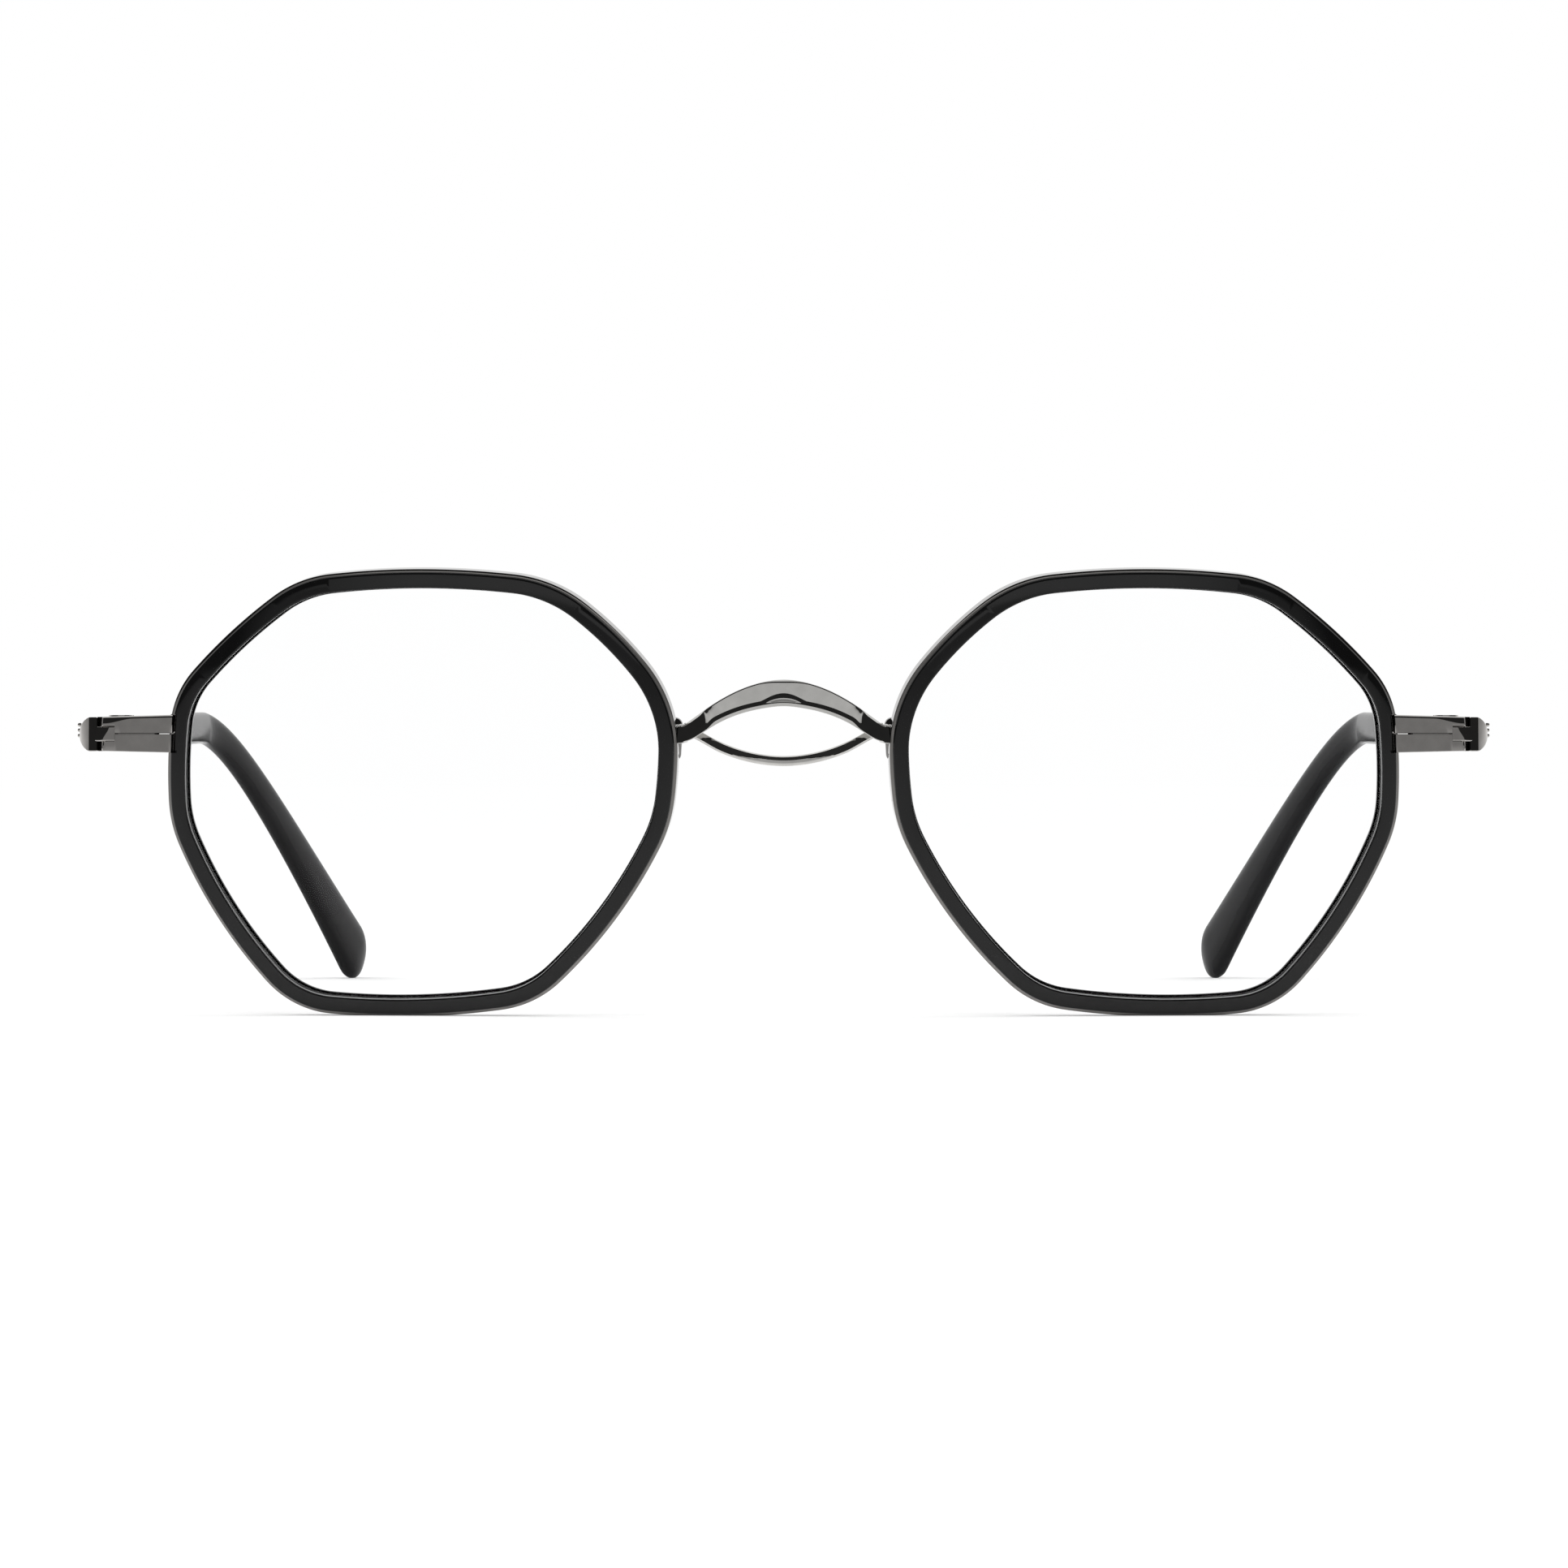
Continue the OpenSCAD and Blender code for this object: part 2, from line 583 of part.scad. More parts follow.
// The middle of the lug lies this far below the saddle end, and its foot leans towards the rim
lug_low = 1.2;
lug_lean = 4;
lug_front = rim_d + seat_play + sag([nose_edge[0], hinge_up + lug_h / 2 - lug_low]);
saddle_end = place([lug_u - lug_w / 2, lug_front + lug_t / 2, hinge_up]);
saddle_steps = 24;
saddle_sides = 8;
saddle_rise = 0.85;
function saddle_point(x) =
    let (t = x / saddle_end[0])
    [x,
     saddle_end[1] + saddle_back * (1 - t * t),
     saddle_end[2] + saddle_rise - (saddle_drop + saddle_rise) * (1 - pow(abs(t), 1.9))];
function saddle_ring(x) =
    let (d = unit(saddle_point(x + 0.05) - saddle_point(x - 0.05)),
         n = unit(cross(d, [0, 1, 0])),
         b = cross(n, d))
    [for (j = [0 : saddle_sides - 1])
        let (a = 360 * j / saddle_sides)
        saddle_point(x) + saddle_d / 2 * (sin(a) * n + cos(a) * b)];
module bridge_saddle() {
    reach = saddle_end[0] - braze_gap;
    color([0.5, 0.5, 0.48])
    seat() skin([for (i = [0 : saddle_steps]) saddle_ring(mix(-reach, reach, i / saddle_steps))], false);
}
// Oval lug brazed behind the eyewire
module bridge_lug(right) {
    color([0.42, 0.41, 0.39])
    seat(right) place_lens() translate([lug_u, lug_front + lug_t, hinge_up])
    rotate([90, 0, 0]) linear_extrude(height = lug_t) rotate(lug_lean) translate([0, -lug_low]) {
        for (s = [-1, 1]) translate([0, s * (lug_h - lug_w) / 2]) circle(d = lug_w);
        square([lug_w, lug_h - lug_w], center = true);
    }
}

// Temple: a bevelled metal bar with two knuckles at its front and a core wire inside the tip
bar_front_y = -knuckle_r - 0.35;
core_end = straight_len + drop_run * 0.7;
core_sides = 6;
core_ys = [for (i = [0 : 14]) mix(sleeve_at, core_end, i / 14)];
function bar_profile(t, h) =
    [[-t / 2, -h / 2], [-t * 0.12, -h / 2], [t * 0.13, -h * 0.45], [t * 0.36, -h * 0.3],
     [t * 0.46, -h * 0.23], [t / 2, -h * 0.17], [t / 2, h * 0.17], [t * 0.46, h * 0.23],
     [t * 0.36, h * 0.3], [t * 0.13, h * 0.45], [-t * 0.12, h / 2], [-t / 2, h / 2]];
function core_section(r) = [for (j = [0 : core_sides - 1]) r * dir(360 * j / core_sides)];
// The front end is flat near the hinge and rounds back to the outer face over nose_len
nose_len = 1.7;
nose_flat = 0.42;
nose_turn = 25;
function nose_width(q) =
    let (a = acos(cos(nose_turn) * (1 - min(1, q / nose_len))))
    mix(nose_flat, 1, (sin(a) - sin(nose_turn)) / (1 - sin(nose_turn)));
// Section of the temple at y, cut back on its outer side by the rounded front end
function bar_ring_at(y) =
    let (q = y - bar_front_y,
         f = max(0, y) / sleeve_at,
         t = mix(temple_t, temple_end_t, f),
         h = mix(hinge_h, temple_h, f) * (q < 0.2 ? 0.9 + q / 2 : 1),
         k = nose_width(q))
    path_ring(y, [for (p = bar_profile(t, h)) [(p[0] + t / 2) * k - t / 2, p[1]]], drop);
module temple_bar() {
    nose_ys = [for (q = [0, 0.2, 0.5, 1]) bar_front_y + q * nose_len];
    skin([for (y = concat(nose_ys, [for (k = [1 : 6]) mix(bar_front_y, sleeve_at, k / 6)])) bar_ring_at(y)],
         false);
}
module core_wire() {
    skin([for (y = concat([sleeve_at - temple_t], core_ys)) path_ring(y, core_section(core_r), drop)],
         false);
}
// One knuckle from z0 to z1, on a web that reaches into the bar
module knuckle(z0, z1) {
    web = inner_x + 0.2;
    translate([0, 0, z0]) rotate([0, 0, end_sweep]) linear_extrude(height = z1 - z0) {
        circle(r = knuckle_r);
        translate([0, -knuckle_r]) square([web, 2 * knuckle_r]);
    }
}
module temple(right) {
    low = knuckle_h / 2 + hinge_gap;
    color([0.42, 0.41, 0.39])
    seat(right) translate(pin) difference() {
        union() {
            temple_bar();
            core_wire();
            knuckle(-hinge_h / 2, -low);
            knuckle(low, hinge_top - head_t);
        }
        cylinder(h = 2 * hinge_h, r = hinge_screw_r + run_play, center = true);
        rivets(rivet_r + seat_play / 2, 0);
    }
}
// Three blind rivets in the outer face of the temple
module rivets(r, proud) {
    for (k = [-1 : 1])
    translate([path_x(rivet_at) - temple_t * 0.1, rivet_at, path_z(rivet_at, drop) + k * rivet_pitch])
    rotate([0, 90, -splay]) cylinder(h = temple_t * 0.6 + proud, r = r, $fn = 8);
}
module temple_rivets(right) {
    color([0.72, 0.71, 0.68])
    seat(right) translate(pin) rivets(rivet_r, 0.25);
}

// Tip: a plastic sleeve over the core wire, bent down and in, with a paddle at its end
module temple_tip(right) {
    bore_ys = concat([sleeve_at - temple_t], core_ys, [core_end + core_r]);
    color([0.05, 0.05, 0.055])
    seat(right) translate(pin) difference() {
        skin(tip_rings(drop), false);
        skin([for (y = bore_ys) path_ring(y, core_section(core_r + seat_play), drop)], false);
    }
}

lens(false);  // lens_left
lens(true);  // lens_right
rim_insert(false);  // rim_insert_left
rim_insert(true);  // rim_insert_right
eyewire(false);  // eyewire_left
eyewire(true);  // eyewire_right
bridge_bar();
bridge_saddle();
bridge_lug(false);  // bridge_lug_left
bridge_lug(true);  // bridge_lug_right
endpiece(false);  // endpiece_left
endpiece(true);  // endpiece_right
clamp_screw(false);  // clamp_screw_left
clamp_screw(true);  // clamp_screw_right
hinge_screw(false);  // hinge_screw_left
hinge_screw(true);  // hinge_screw_right
temple(false);  // temple_left
temple(true);  // temple_right
temple_tip(false);  // temple_tip_left
temple_tip(true);  // temple_tip_right
temple_rivets(false);  // temple_rivets_left
temple_rivets(true);  // temple_rivets_right
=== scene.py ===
import math

import bmesh
import bpy
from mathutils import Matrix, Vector


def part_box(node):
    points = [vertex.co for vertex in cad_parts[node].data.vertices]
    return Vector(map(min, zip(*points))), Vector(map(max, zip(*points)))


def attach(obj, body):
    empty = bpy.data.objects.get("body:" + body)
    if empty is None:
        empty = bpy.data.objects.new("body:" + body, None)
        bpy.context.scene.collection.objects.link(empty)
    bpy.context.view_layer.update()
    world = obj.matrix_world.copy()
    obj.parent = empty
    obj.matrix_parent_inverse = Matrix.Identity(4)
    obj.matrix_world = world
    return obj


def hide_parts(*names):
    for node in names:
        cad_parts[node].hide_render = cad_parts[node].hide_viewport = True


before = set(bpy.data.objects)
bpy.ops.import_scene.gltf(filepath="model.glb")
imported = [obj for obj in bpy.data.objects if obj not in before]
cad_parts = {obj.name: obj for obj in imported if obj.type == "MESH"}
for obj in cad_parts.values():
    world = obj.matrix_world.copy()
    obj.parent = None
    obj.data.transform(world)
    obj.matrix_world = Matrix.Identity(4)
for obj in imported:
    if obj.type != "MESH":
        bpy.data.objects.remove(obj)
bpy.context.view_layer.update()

# Geometric eyeglasses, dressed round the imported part. Sizes are in millimetres, +Z is up and the wearer looks
# along -Y. The left half lies at +X, and the right half mirrors it.

MM = 0.001
rad = math.radians

# Sizes that the part's source has too
LENS_W, LENS_H, LENS_GAP = 48.0, 41.8, 24.0
LENS_T, BASE_R = 1.4, 130.0
WRAP, TILT = rad(4.5), rad(7.0)
RIM_W, RIM_D, LENS_SEAT, LENS_SET = 1.4, 2.6, 0.4, 0.65
WIRE_SHOW, WIRE_SET, WIRE_D = 0.3, 0.45, 2.1
RIB_W, RIB_D, PLAY = 0.7, 0.35, 0.04
HINGE_UP = 6.0
BAR_RISE, BAR_HALF, BAR_FORWARD = 4.0, 9.5, 2.4
SADDLE_DROP, SADDLE_BACK = 2.85, 0.7
LUG_H, LUG_W, LUG_T = 4.4, 1.6, 0.7
END_LEN, PIN_INSET, END_H, HINGE_H, END_T, BLOCK_D = 7.3, 1.7, 3.75, 3.4, 1.3, 2.8
SWEEP = rad(8.0)
END_LAP, END_PROUD, SLIT_W, LIP_GAP = 0.5, 0.15, 0.14, 0.1
KNUCKLE_H, KNUCKLE_R, HINGE_GAP, PLATE_GAP, FORK_LEN = 1.2, 1.4, 0.12, 0.15, 1.7
HEAD_T, HEAD_PROUD = 0.45, 0.18
STRAIGHT, DROP_RUN, BEND_SOFT, TUCK_SOFT, TUCK = 84.5, 46.0, 0.28, 0.08, 13.0
SPLAY, RISE = rad(2.4), rad(0.9)
TEMPLE_T, TEMPLE_END_T, TEMPLE_H, SLEEVE_AT = 1.8, 1.4, 3.2, 62.0
TIP_H, TIP_T, PADDLE_H, PADDLE_T = 3.5, 2.0, 7.2, 2.4
SWELL_FROM, ROUND_FROM = 0.36, 0.955
RIVET_R, RIVET_PITCH = 0.18, 0.54

# Sides of the left lens: direction in degrees, reach from the centre, bow radius of the side, and radius of
# the corner that follows
SIDES = [(-2, 24.0, 52, 8), (54, 23.0, 53, 10.5), (90, 20.9, 78, 12.5), (123, 23.5, 35, 12.5),
         (194, 23.3, 45, 13), (220, 21.3, 48, 9), (267, 20.8, 80, 8), (327, 22.7, 49, 11)]
SIDE_N, CORNER_N = 26, 16


# Lens outline
def side_centre(s):
    a = rad(s[0])
    return Vector((math.cos(a), math.sin(a))) * (s[1] - s[2])


def corner_centre(s, t):
    """Centre of the corner arc that touches the sides s and t from inside."""
    p, q = side_centre(s), side_centre(t)
    d = (q - p).length
    rp, rq = s[2] - s[3], t[2] - s[3]
    x = (d * d + rp * rp - rq * rq) / (2 * d)
    h = math.sqrt(max(0.0, rp * rp - x * x))
    e = (q - p) / d
    return p + e * x + Vector((-e.y, e.x)) * h


def turn(a0, a1):
    """The shorter way round from one angle to the other."""
    return (a1 - a0 + 3 * math.pi) % (2 * math.pi) - math.pi


def arc(c, r, a0, a1, n):
    angles = [a0 + turn(a0, a1) * k / n for k in range(n)]
    return [(c.x + r * math.cos(a), c.y + r * math.sin(a), a) for a in angles]


def smooth(t):
    t = min(1.0, max(0.0, t))
    return t * t * (3 - 2 * t)


def bearing(v):
    return math.atan2(v.y, v.x)


def lens_outline():
    """Points of the outline, stretched to the lens size, with the direction outwards at each."""
    n, raw = len(SIDES), []
    for i, s in enumerate(SIDES):
        t = SIDES[(i + 1) % n]
        c, before, after = side_centre(s), corner_centre(SIDES[i - 1], s), corner_centre(s, t)
        raw += arc(c, s[2], bearing(before - c), bearing(after - c), SIDE_N)
        raw += arc(after, s[3], bearing(after - c), bearing(after - side_centre(t)), CORNER_N)
    x0, x1 = min(p[0] for p in raw), max(p[0] for p in raw)
    z0, z1 = min(p[1] for p in raw), max(p[1] for p in raw)
    sx, sz = LENS_W / (x1 - x0), LENS_H / (z1 - z0)
    points, normals = [], []
    for x, z, a in raw:
        points.append(Vector(((x - (x0 + x1) / 2) * sx, (z - (z0 + z1) / 2) * sz)))
        normals.append(Vector((math.cos(a) / sx, math.sin(a) / sz)).normalized())
    return points, normals


OUTLINE, NORMALS = lens_outline()
N_ST = len(OUTLINE)


def edge(i, off):
    """Point i of the outline, moved outwards by off."""
    return OUTLINE[i % N_ST] + NORMALS[i % N_ST] * off


def sag(p):
    """How far the lens curve falls back at p."""
    return (p.x * p.x + p.y * p.y) / (2 * BASE_R)


LENS_X = (LENS_W + LENS_GAP) / 2


def place(u, d, v):
    """A point of the left lens frame in the frame of the glasses: u outwards, d backwards, v upwards."""
    y = d * math.cos(TILT) - v * math.sin(TILT)
    z = d * math.sin(TILT) + v * math.cos(TILT)
    x = LENS_X + u * math.cos(WRAP) - y * math.sin(WRAP)
    return Vector((x, u * math.sin(WRAP) + y * math.cos(WRAP), z))


def edge_x(z, off, outer):
    """Where the outline, moved outwards by off, crosses the height z."""
    hits = []
    for i in range(N_ST):
        a, b = edge(i, off), edge(i + 1, off)
        if (a.y - z) * (b.y - z) <= 0 and a.y != b.y:
            hits.append(a.x + (b.x - a.x) * (z - a.y) / (b.y - a.y))
    return max(hits) if outer else min(hits)


# Places that follow from the sizes. Those of the rim are offsets from the lens outline.
RING_IN = -LENS_SEAT
RING_OUT = RING_IN + RIM_W
WIRE_OUT = RING_OUT + WIRE_SHOW
WIRE_BACK = WIRE_SET + WIRE_D
RIB_MID = WIRE_SET + WIRE_D / 2
FLOOR = RING_OUT - RIB_D
BEVEL_MID = LENS_SET + LENS_T / 2

outer_edge = Vector((edge_x(HINGE_UP, WIRE_OUT, True), HINGE_UP))
nose_edge = Vector((edge_x(HINGE_UP, WIRE_OUT, False), HINGE_UP))
END_ANCHOR = place(outer_edge.x, sag(outer_edge) - END_PROUD, HINGE_UP)
NOSE_ANCHOR = place(nose_edge.x, sag(nose_edge), HINGE_UP)
PLATE_FRONT = -(KNUCKLE_R + PLATE_GAP + END_T)
PIN_LEN = END_LEN - PIN_INSET
PIN = END_ANCHOR + Vector((PIN_LEN * math.cos(SWEEP) + PLATE_FRONT * math.sin(SWEEP),
                           PIN_LEN * math.sin(SWEEP) - PLATE_FRONT * math.cos(SWEEP), 0))

# The scene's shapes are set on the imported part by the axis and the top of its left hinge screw.
screw_lo, screw_hi = [Vector(p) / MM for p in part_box("hinge_screw_left")]
SHIFT = Vector((0, (screw_lo.y + screw_hi.y) / 2, screw_hi.z))
SHIFT -= Vector((0, PIN.y, PIN.z + HINGE_H / 2 + HEAD_PROUD))


# Mesh helpers
def added(name, data):
    ob = bpy.data.objects.new(name, data)
    bpy.context.scene.collection.objects.link(ob)
    return ob


def shade(me, sharp, outwards):
    """Smooth faces, with the edges sharp that turn by more than the angle given in degrees."""
    bm = bmesh.new()
    bm.from_mesh(me)
    if outwards:
        bmesh.ops.recalc_face_normals(bm, faces=bm.faces)
    for f in bm.faces:
        f.smooth = True
    for e in bm.edges:
        e.smooth = len(e.link_faces) == 2 and e.calc_face_angle(0.0) < rad(sharp)
    bm.to_mesh(me)
    bm.free()


def mesh(name, verts, faces, right, sharp=32, lens_frame=False, at=(0, 0, 0)):
    """A mesh from points in millimetres of the left half; right mirrors it."""
    out = []
    for v in verts:
        p = place(*v) if lens_frame else Vector(v) + Vector(at)
        p = p + SHIFT
        out.append(((-p.x if right else p.x) * MM, p.y * MM, p.z * MM))
    me = bpy.data.meshes.new(name)
    me.from_pydata(out, [], [f[::-1] for f in faces] if right else faces)
    me.validate()
    shade(me, sharp, True)
    return added(name, me)


def skin(rings, loop=False):
    """Points and faces of a skin over rings of points, closed by two caps or into a loop."""
    n, m, verts, faces = len(rings[0]), len(rings), [], []
    for r in rings:
        verts += [tuple(p) for p in r]
    for i in range(m if loop else m - 1):
        a, b = i * n, ((i + 1) % m) * n
        for j in range(n):
            k = (j + 1) % n
            faces.append((a + j, b + j, b + k, a + k))
    if not loop:
        faces.append(tuple(range(n)))
        faces.append(tuple((m - 1) * n + j for j in reversed(range(n))))
    return verts, faces


def joined(parts):
    verts, faces = [], []
    for v, f in parts:
        faces += [tuple(i + len(verts) for i in face) for face in f]
        verts += v
    return verts, faces


def rounded(poly, radii, steps=4):
    """A polygon with its corners rounded to the radii given, one for each corner."""
    out, n = [], len(poly)
    for i in range(n):
        p, r = Vector(poly[i]), radii[i]
        if r <= 0:
            out.append((p.x, p.y))
            continue
        a, b = (Vector(poly[i - 1]) - p), (Vector(poly[(i + 1) % n]) - p)
        la, lb = a.length, b.length
        a, b = a / la, b / lb
        half = math.acos(max(-1, min(1, a.dot(b)))) / 2
        cut_off = min(r / math.tan(half), la * 0.49, lb * 0.49)
        rr = cut_off * math.tan(half)
        c = p + (a + b).normalized() * (rr / math.sin(half))
        a0, a1 = bearing(p + a * cut_off - c), bearing(p + b * cut_off - c)
        for k in range(steps + 1):
            q = a0 + turn(a0, a1) * k / steps
            out.append((c.x + rr * math.cos(q), c.y + rr * math.sin(q)))
    return out


def applied(ob):
    """Puts the result of the object's modifiers in place of its mesh."""
    bpy.context.view_layer.update()
    ob.data = bpy.data.meshes.new_from_object(ob.evaluated_get(bpy.context.evaluated_depsgraph_get()))
    ob.modifiers.clear()


def dress(ob, body, nodes, mat):
    """Large faces keep their own normals beside small roundings; then the piece joins its body."""
    weigh = ob.modifiers.new("weigh", "WEIGHTED_NORMAL")
    weigh.keep_sharp, weigh.weight = True, 100
    applied(ob)
    ob.data.materials.clear()
    ob.data.materials.append(mat)
    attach(ob, body)
    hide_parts(*nodes)


def cut(ob, cutters, sharp=32):
    """Cuts closed meshes out of a piece and sets its sharp edges anew."""
    for c in cutters:
        m = ob.modifiers.new("cut", "BOOLEAN")
        m.operation, m.solver, m.object = "DIFFERENCE", "EXACT", c
    applied(ob)
    shade(ob.data, sharp, False)
    for c in cutters:
        bpy.data.objects.remove(c)


# Materials
def material(name, base, metallic=0.0, rough=0.3, ior=1.5):
    m = bpy.data.materials.new(name)
    m.use_nodes = True
    bsdf = m.node_tree.nodes["Principled BSDF"]
    bsdf.inputs["Base Color"].default_value = (*base, 1)
    bsdf.inputs["Metallic"].default_value = metallic
    bsdf.inputs["Roughness"].default_value = rough
    bsdf.inputs["IOR"].default_value = ior
    return m, m.node_tree, bsdf


def grain(tree, bsdf, base, scale, lo, hi, tint, bump=0.0):
    """Fine procedural variation of roughness between lo and hi, of colour and, with bump, of the surface."""
    nodes, links = tree.nodes, tree.links
    where = nodes.new("ShaderNodeTexCoord")
    noise = nodes.new("ShaderNodeTexNoise")
    noise.inputs["Scale"].default_value = scale
    noise.inputs["Detail"].default_value = 6
    links.new(where.outputs["Object"], noise.inputs["Vector"])
    rough = nodes.new("ShaderNodeMapRange")
    rough.inputs["From Min"].default_value, rough.inputs["From Max"].default_value = 0.3, 0.7
    rough.inputs["To Min"].default_value, rough.inputs["To Max"].default_value = lo, hi
    links.new(noise.outputs["Fac"], rough.inputs["Value"])
    links.new(rough.outputs["Result"], bsdf.inputs["Roughness"])
    ramp = nodes.new("ShaderNodeValToRGB")
    dark, light = ramp.color_ramp.elements
    dark.position, light.position = 0.3, 0.7
    dark.color = (*[c * (1 - tint) for c in base], 1)
    light.color = (*[min(1, c * (1 + tint)) for c in base], 1)
    links.new(noise.outputs["Fac"], ramp.inputs["Fac"])
    links.new(ramp.outputs["Color"], bsdf.inputs["Base Color"])
    if bump:
        raised = nodes.new("ShaderNodeBump")
        raised.inputs["Strength"].default_value = bump
        raised.inputs["Distance"].default_value = 0.00002
        links.new(noise.outputs["Fac"], raised.inputs["Height"])
        links.new(raised.outputs["Normal"], bsdf.inputs["Normal"])


def metal(name, base, lo=0.02, hi=0.07):
    """Polished plating with a faint brushed variation of about a millimetre."""
    m, tree, bsdf = material(name, base, metallic=1.0, rough=0.1)
    grain(tree, bsdf, base, 900, lo, hi, tint=0.06, bump=0.01)
    return m


def acetate(name, base, lo=0.04, hi=0.1, ior=1.38):
    """Black plastic with soft variation of its polish over some millimetres."""
    m, tree, bsdf = material(name, base, rough=0.07, ior=ior)
    grain(tree, bsdf, base, 150, lo, hi, tint=0.25)
    return m


def coated_glass(name):
    """Clear glass. Its low index stands for the coating that keeps the lenses from mirroring."""
    m, tree, bsdf = material(name, (1, 1, 1), rough=0.0, ior=1.1)
    bsdf.inputs["Transmission Weight"].default_value = 1.0
    grain(tree, bsdf, (0.996, 0.998, 1.0), 60, 0.0, 0.003, tint=0.002)
    return m


RIM_BLACK = acetate("rim_black", (0.004, 0.004, 0.0041))
TIP_BLACK = acetate("tip_black", (0.006, 0.006, 0.0065), 0.13, 0.17, 1.12)
FRAME_METAL = metal("frame_metal", (0.43, 0.415, 0.4))
BRIDGE_METAL = metal("bridge_metal", (0.465, 0.46, 0.445))
SADDLE_METAL = metal("saddle_metal", (0.6, 0.59, 0.57))
LUG_METAL = metal("lug_metal", (0.24, 0.235, 0.23))
WIRE_METAL = metal("wire_metal", (0.22, 0.212, 0.204))
SCREW_METAL = metal("screw_metal", (0.5, 0.485, 0.46), 0.08, 0.2)
LENS = coated_glass("lens_clear")

# Rims and lenses

# The ring has a lip behind the lens and a flange in front of the eyewire, and the eyewire stands a little
# fuller than in the solids.
LIP_IN, FLANGE, WIRE_FULL = 0.22, 0.13, 0.12
# How far inside the outline the curved faces of the lens end
LENS_FACE_IN = 0.41
# Lens groove: how far before the bevel's middle it begins, and how far the bevel's point sinks into the ring
GROOVE_AHEAD, BEVEL_SUNK = 0.6, 0.03
# How deep the endpiece is let into the ring, and the room above and below it
NOTCH_D, NOTCH_ROOM = 0.95, 0.05

# Ring section from its front face round the outside to the lens groove, with the radius at each corner
INSERT = rounded([(RING_IN, 0), (RING_OUT + FLANGE, 0), (RING_OUT + FLANGE, WIRE_SET - PLAY),
                  (RING_OUT, WIRE_SET - PLAY), (RING_OUT, RIB_MID - RIB_W / 2 - PLAY),
                  (FLOOR, RIB_MID - RIB_W / 2 - PLAY), (FLOOR, RIB_MID + RIB_W / 2 + PLAY),
                  (RING_OUT, RIB_MID + RIB_W / 2 + PLAY), (RING_OUT, RIM_D), (RING_IN - LIP_IN, RIM_D),
                  (RING_IN - LIP_IN, LENS_SET + LENS_T + 0.02), (RING_IN, LENS_SET + LENS_T),
                  (-BEVEL_SUNK, BEVEL_MID), (RING_IN, BEVEL_MID - GROOVE_AHEAD)],
                 [0.2, 0.34, 0.03, 0, 0.03, 0, 0, 0.03, 0.25, 0.1, 0.05, 0, 0.02, 0.02])
# Eyewire section from its front face round the outside to the rib that sits in the ring
WIRE = rounded([(RING_OUT + PLAY, WIRE_SET), (WIRE_OUT + WIRE_FULL, WIRE_SET),
                (WIRE_OUT + WIRE_FULL, WIRE_BACK), (RING_OUT + PLAY, WIRE_BACK),
                (RING_OUT + PLAY, RIB_MID + RIB_W / 2), (FLOOR + PLAY, RIB_MID + RIB_W / 2),
                (FLOOR + PLAY, RIB_MID - RIB_W / 2), (RING_OUT + PLAY, RIB_MID - RIB_W / 2)],
               [0.04, 0.06, 0.11, 0.04, 0, 0, 0, 0])


def swept(section):
    """A section, given as offsets and depths, led round the lens outline."""
    return skin([[(edge(i, a).x, d + sag(edge(i, a)), edge(i, a).y) for a, d in section]
                 for i in range(N_ST)], loop=True)


def rim_strip(off0, off1, d0, d1, half, outer=True, n=24):
    """A closed strip of the rim zone between two offsets, at the height of the hinges."""
    rings = []
    for k in range(n + 1):
        z = HINGE_UP + half * (2 * k / n - 1)
        a, b = edge_x(z, off0, outer), edge_x(z, off1, outer)
        s = sag(outer_edge if outer else nose_edge)
        rings.append([(a, s + d0, z), (b, s + d0, z), (b, s + d1, z), (a, s + d1, z)])
    return skin(rings)


def lens_mesh(steps=8):
    """Rings from the back's centre out to the pointed bevel and in to the front's centre."""
    face_edge = [edge(i, -LENS_FACE_IN) for i in range(N_ST)]
    levels = [k / steps for k in range(1, steps + 1)]

    def face_ring(f, depth):
        return [(f * p.x, depth + sag(p * f), f * p.y) for p in face_edge]

    rings = [face_ring(f, LENS_SET + LENS_T) for f in levels]
    rings.append([(p.x, BEVEL_MID + sag(p), p.y) for p in OUTLINE])
    rings += [face_ring(f, LENS_SET) for f in reversed(levels)]
    verts, faces = skin(rings)
    faces = faces[:-2]
    back, front, last = len(verts), len(verts) + 1, (len(rings) - 1) * N_ST
    verts += [(0, LENS_SET + LENS_T, 0), (0, LENS_SET, 0)]
    for j in range(N_ST):
        k = (j + 1) % N_ST
        faces.append((back, j, k))
        faces.append((front, last + k, last + j))
    return verts, faces


for side, right in (("left", False), ("right", True)):
    ring = mesh(f"ring_{side}", *swept(INSERT), right, lens_frame=True)
    notch = mesh("notch", *rim_strip(RING_OUT - END_LAP, RING_OUT + 2, -2, NOTCH_D, END_H / 2 + NOTCH_ROOM),
                 right, lens_frame=True)
    cut(ring, [notch])
    dress(ring, "front", [f"rim_insert_{side}"], RIM_BLACK)
    wire = mesh(f"wire_{side}", *swept(WIRE), right, lens_frame=True)
    slit = mesh("slit", *rim_strip(FLOOR - 1, WIRE_OUT + 1, -1, 4, SLIT_W / 2, n=2), right, lens_frame=True)
    cut(wire, [slit])
    dress(wire, "front", [f"eyewire_{side}"], WIRE_METAL)
    glass = mesh(f"glass_{side}", *lens_mesh(), right, sharp=12, lens_frame=True)
    glass.visible_shadow = False
    dress(glass, "front", [f"lens_{side}"], LENS)

# Bridge

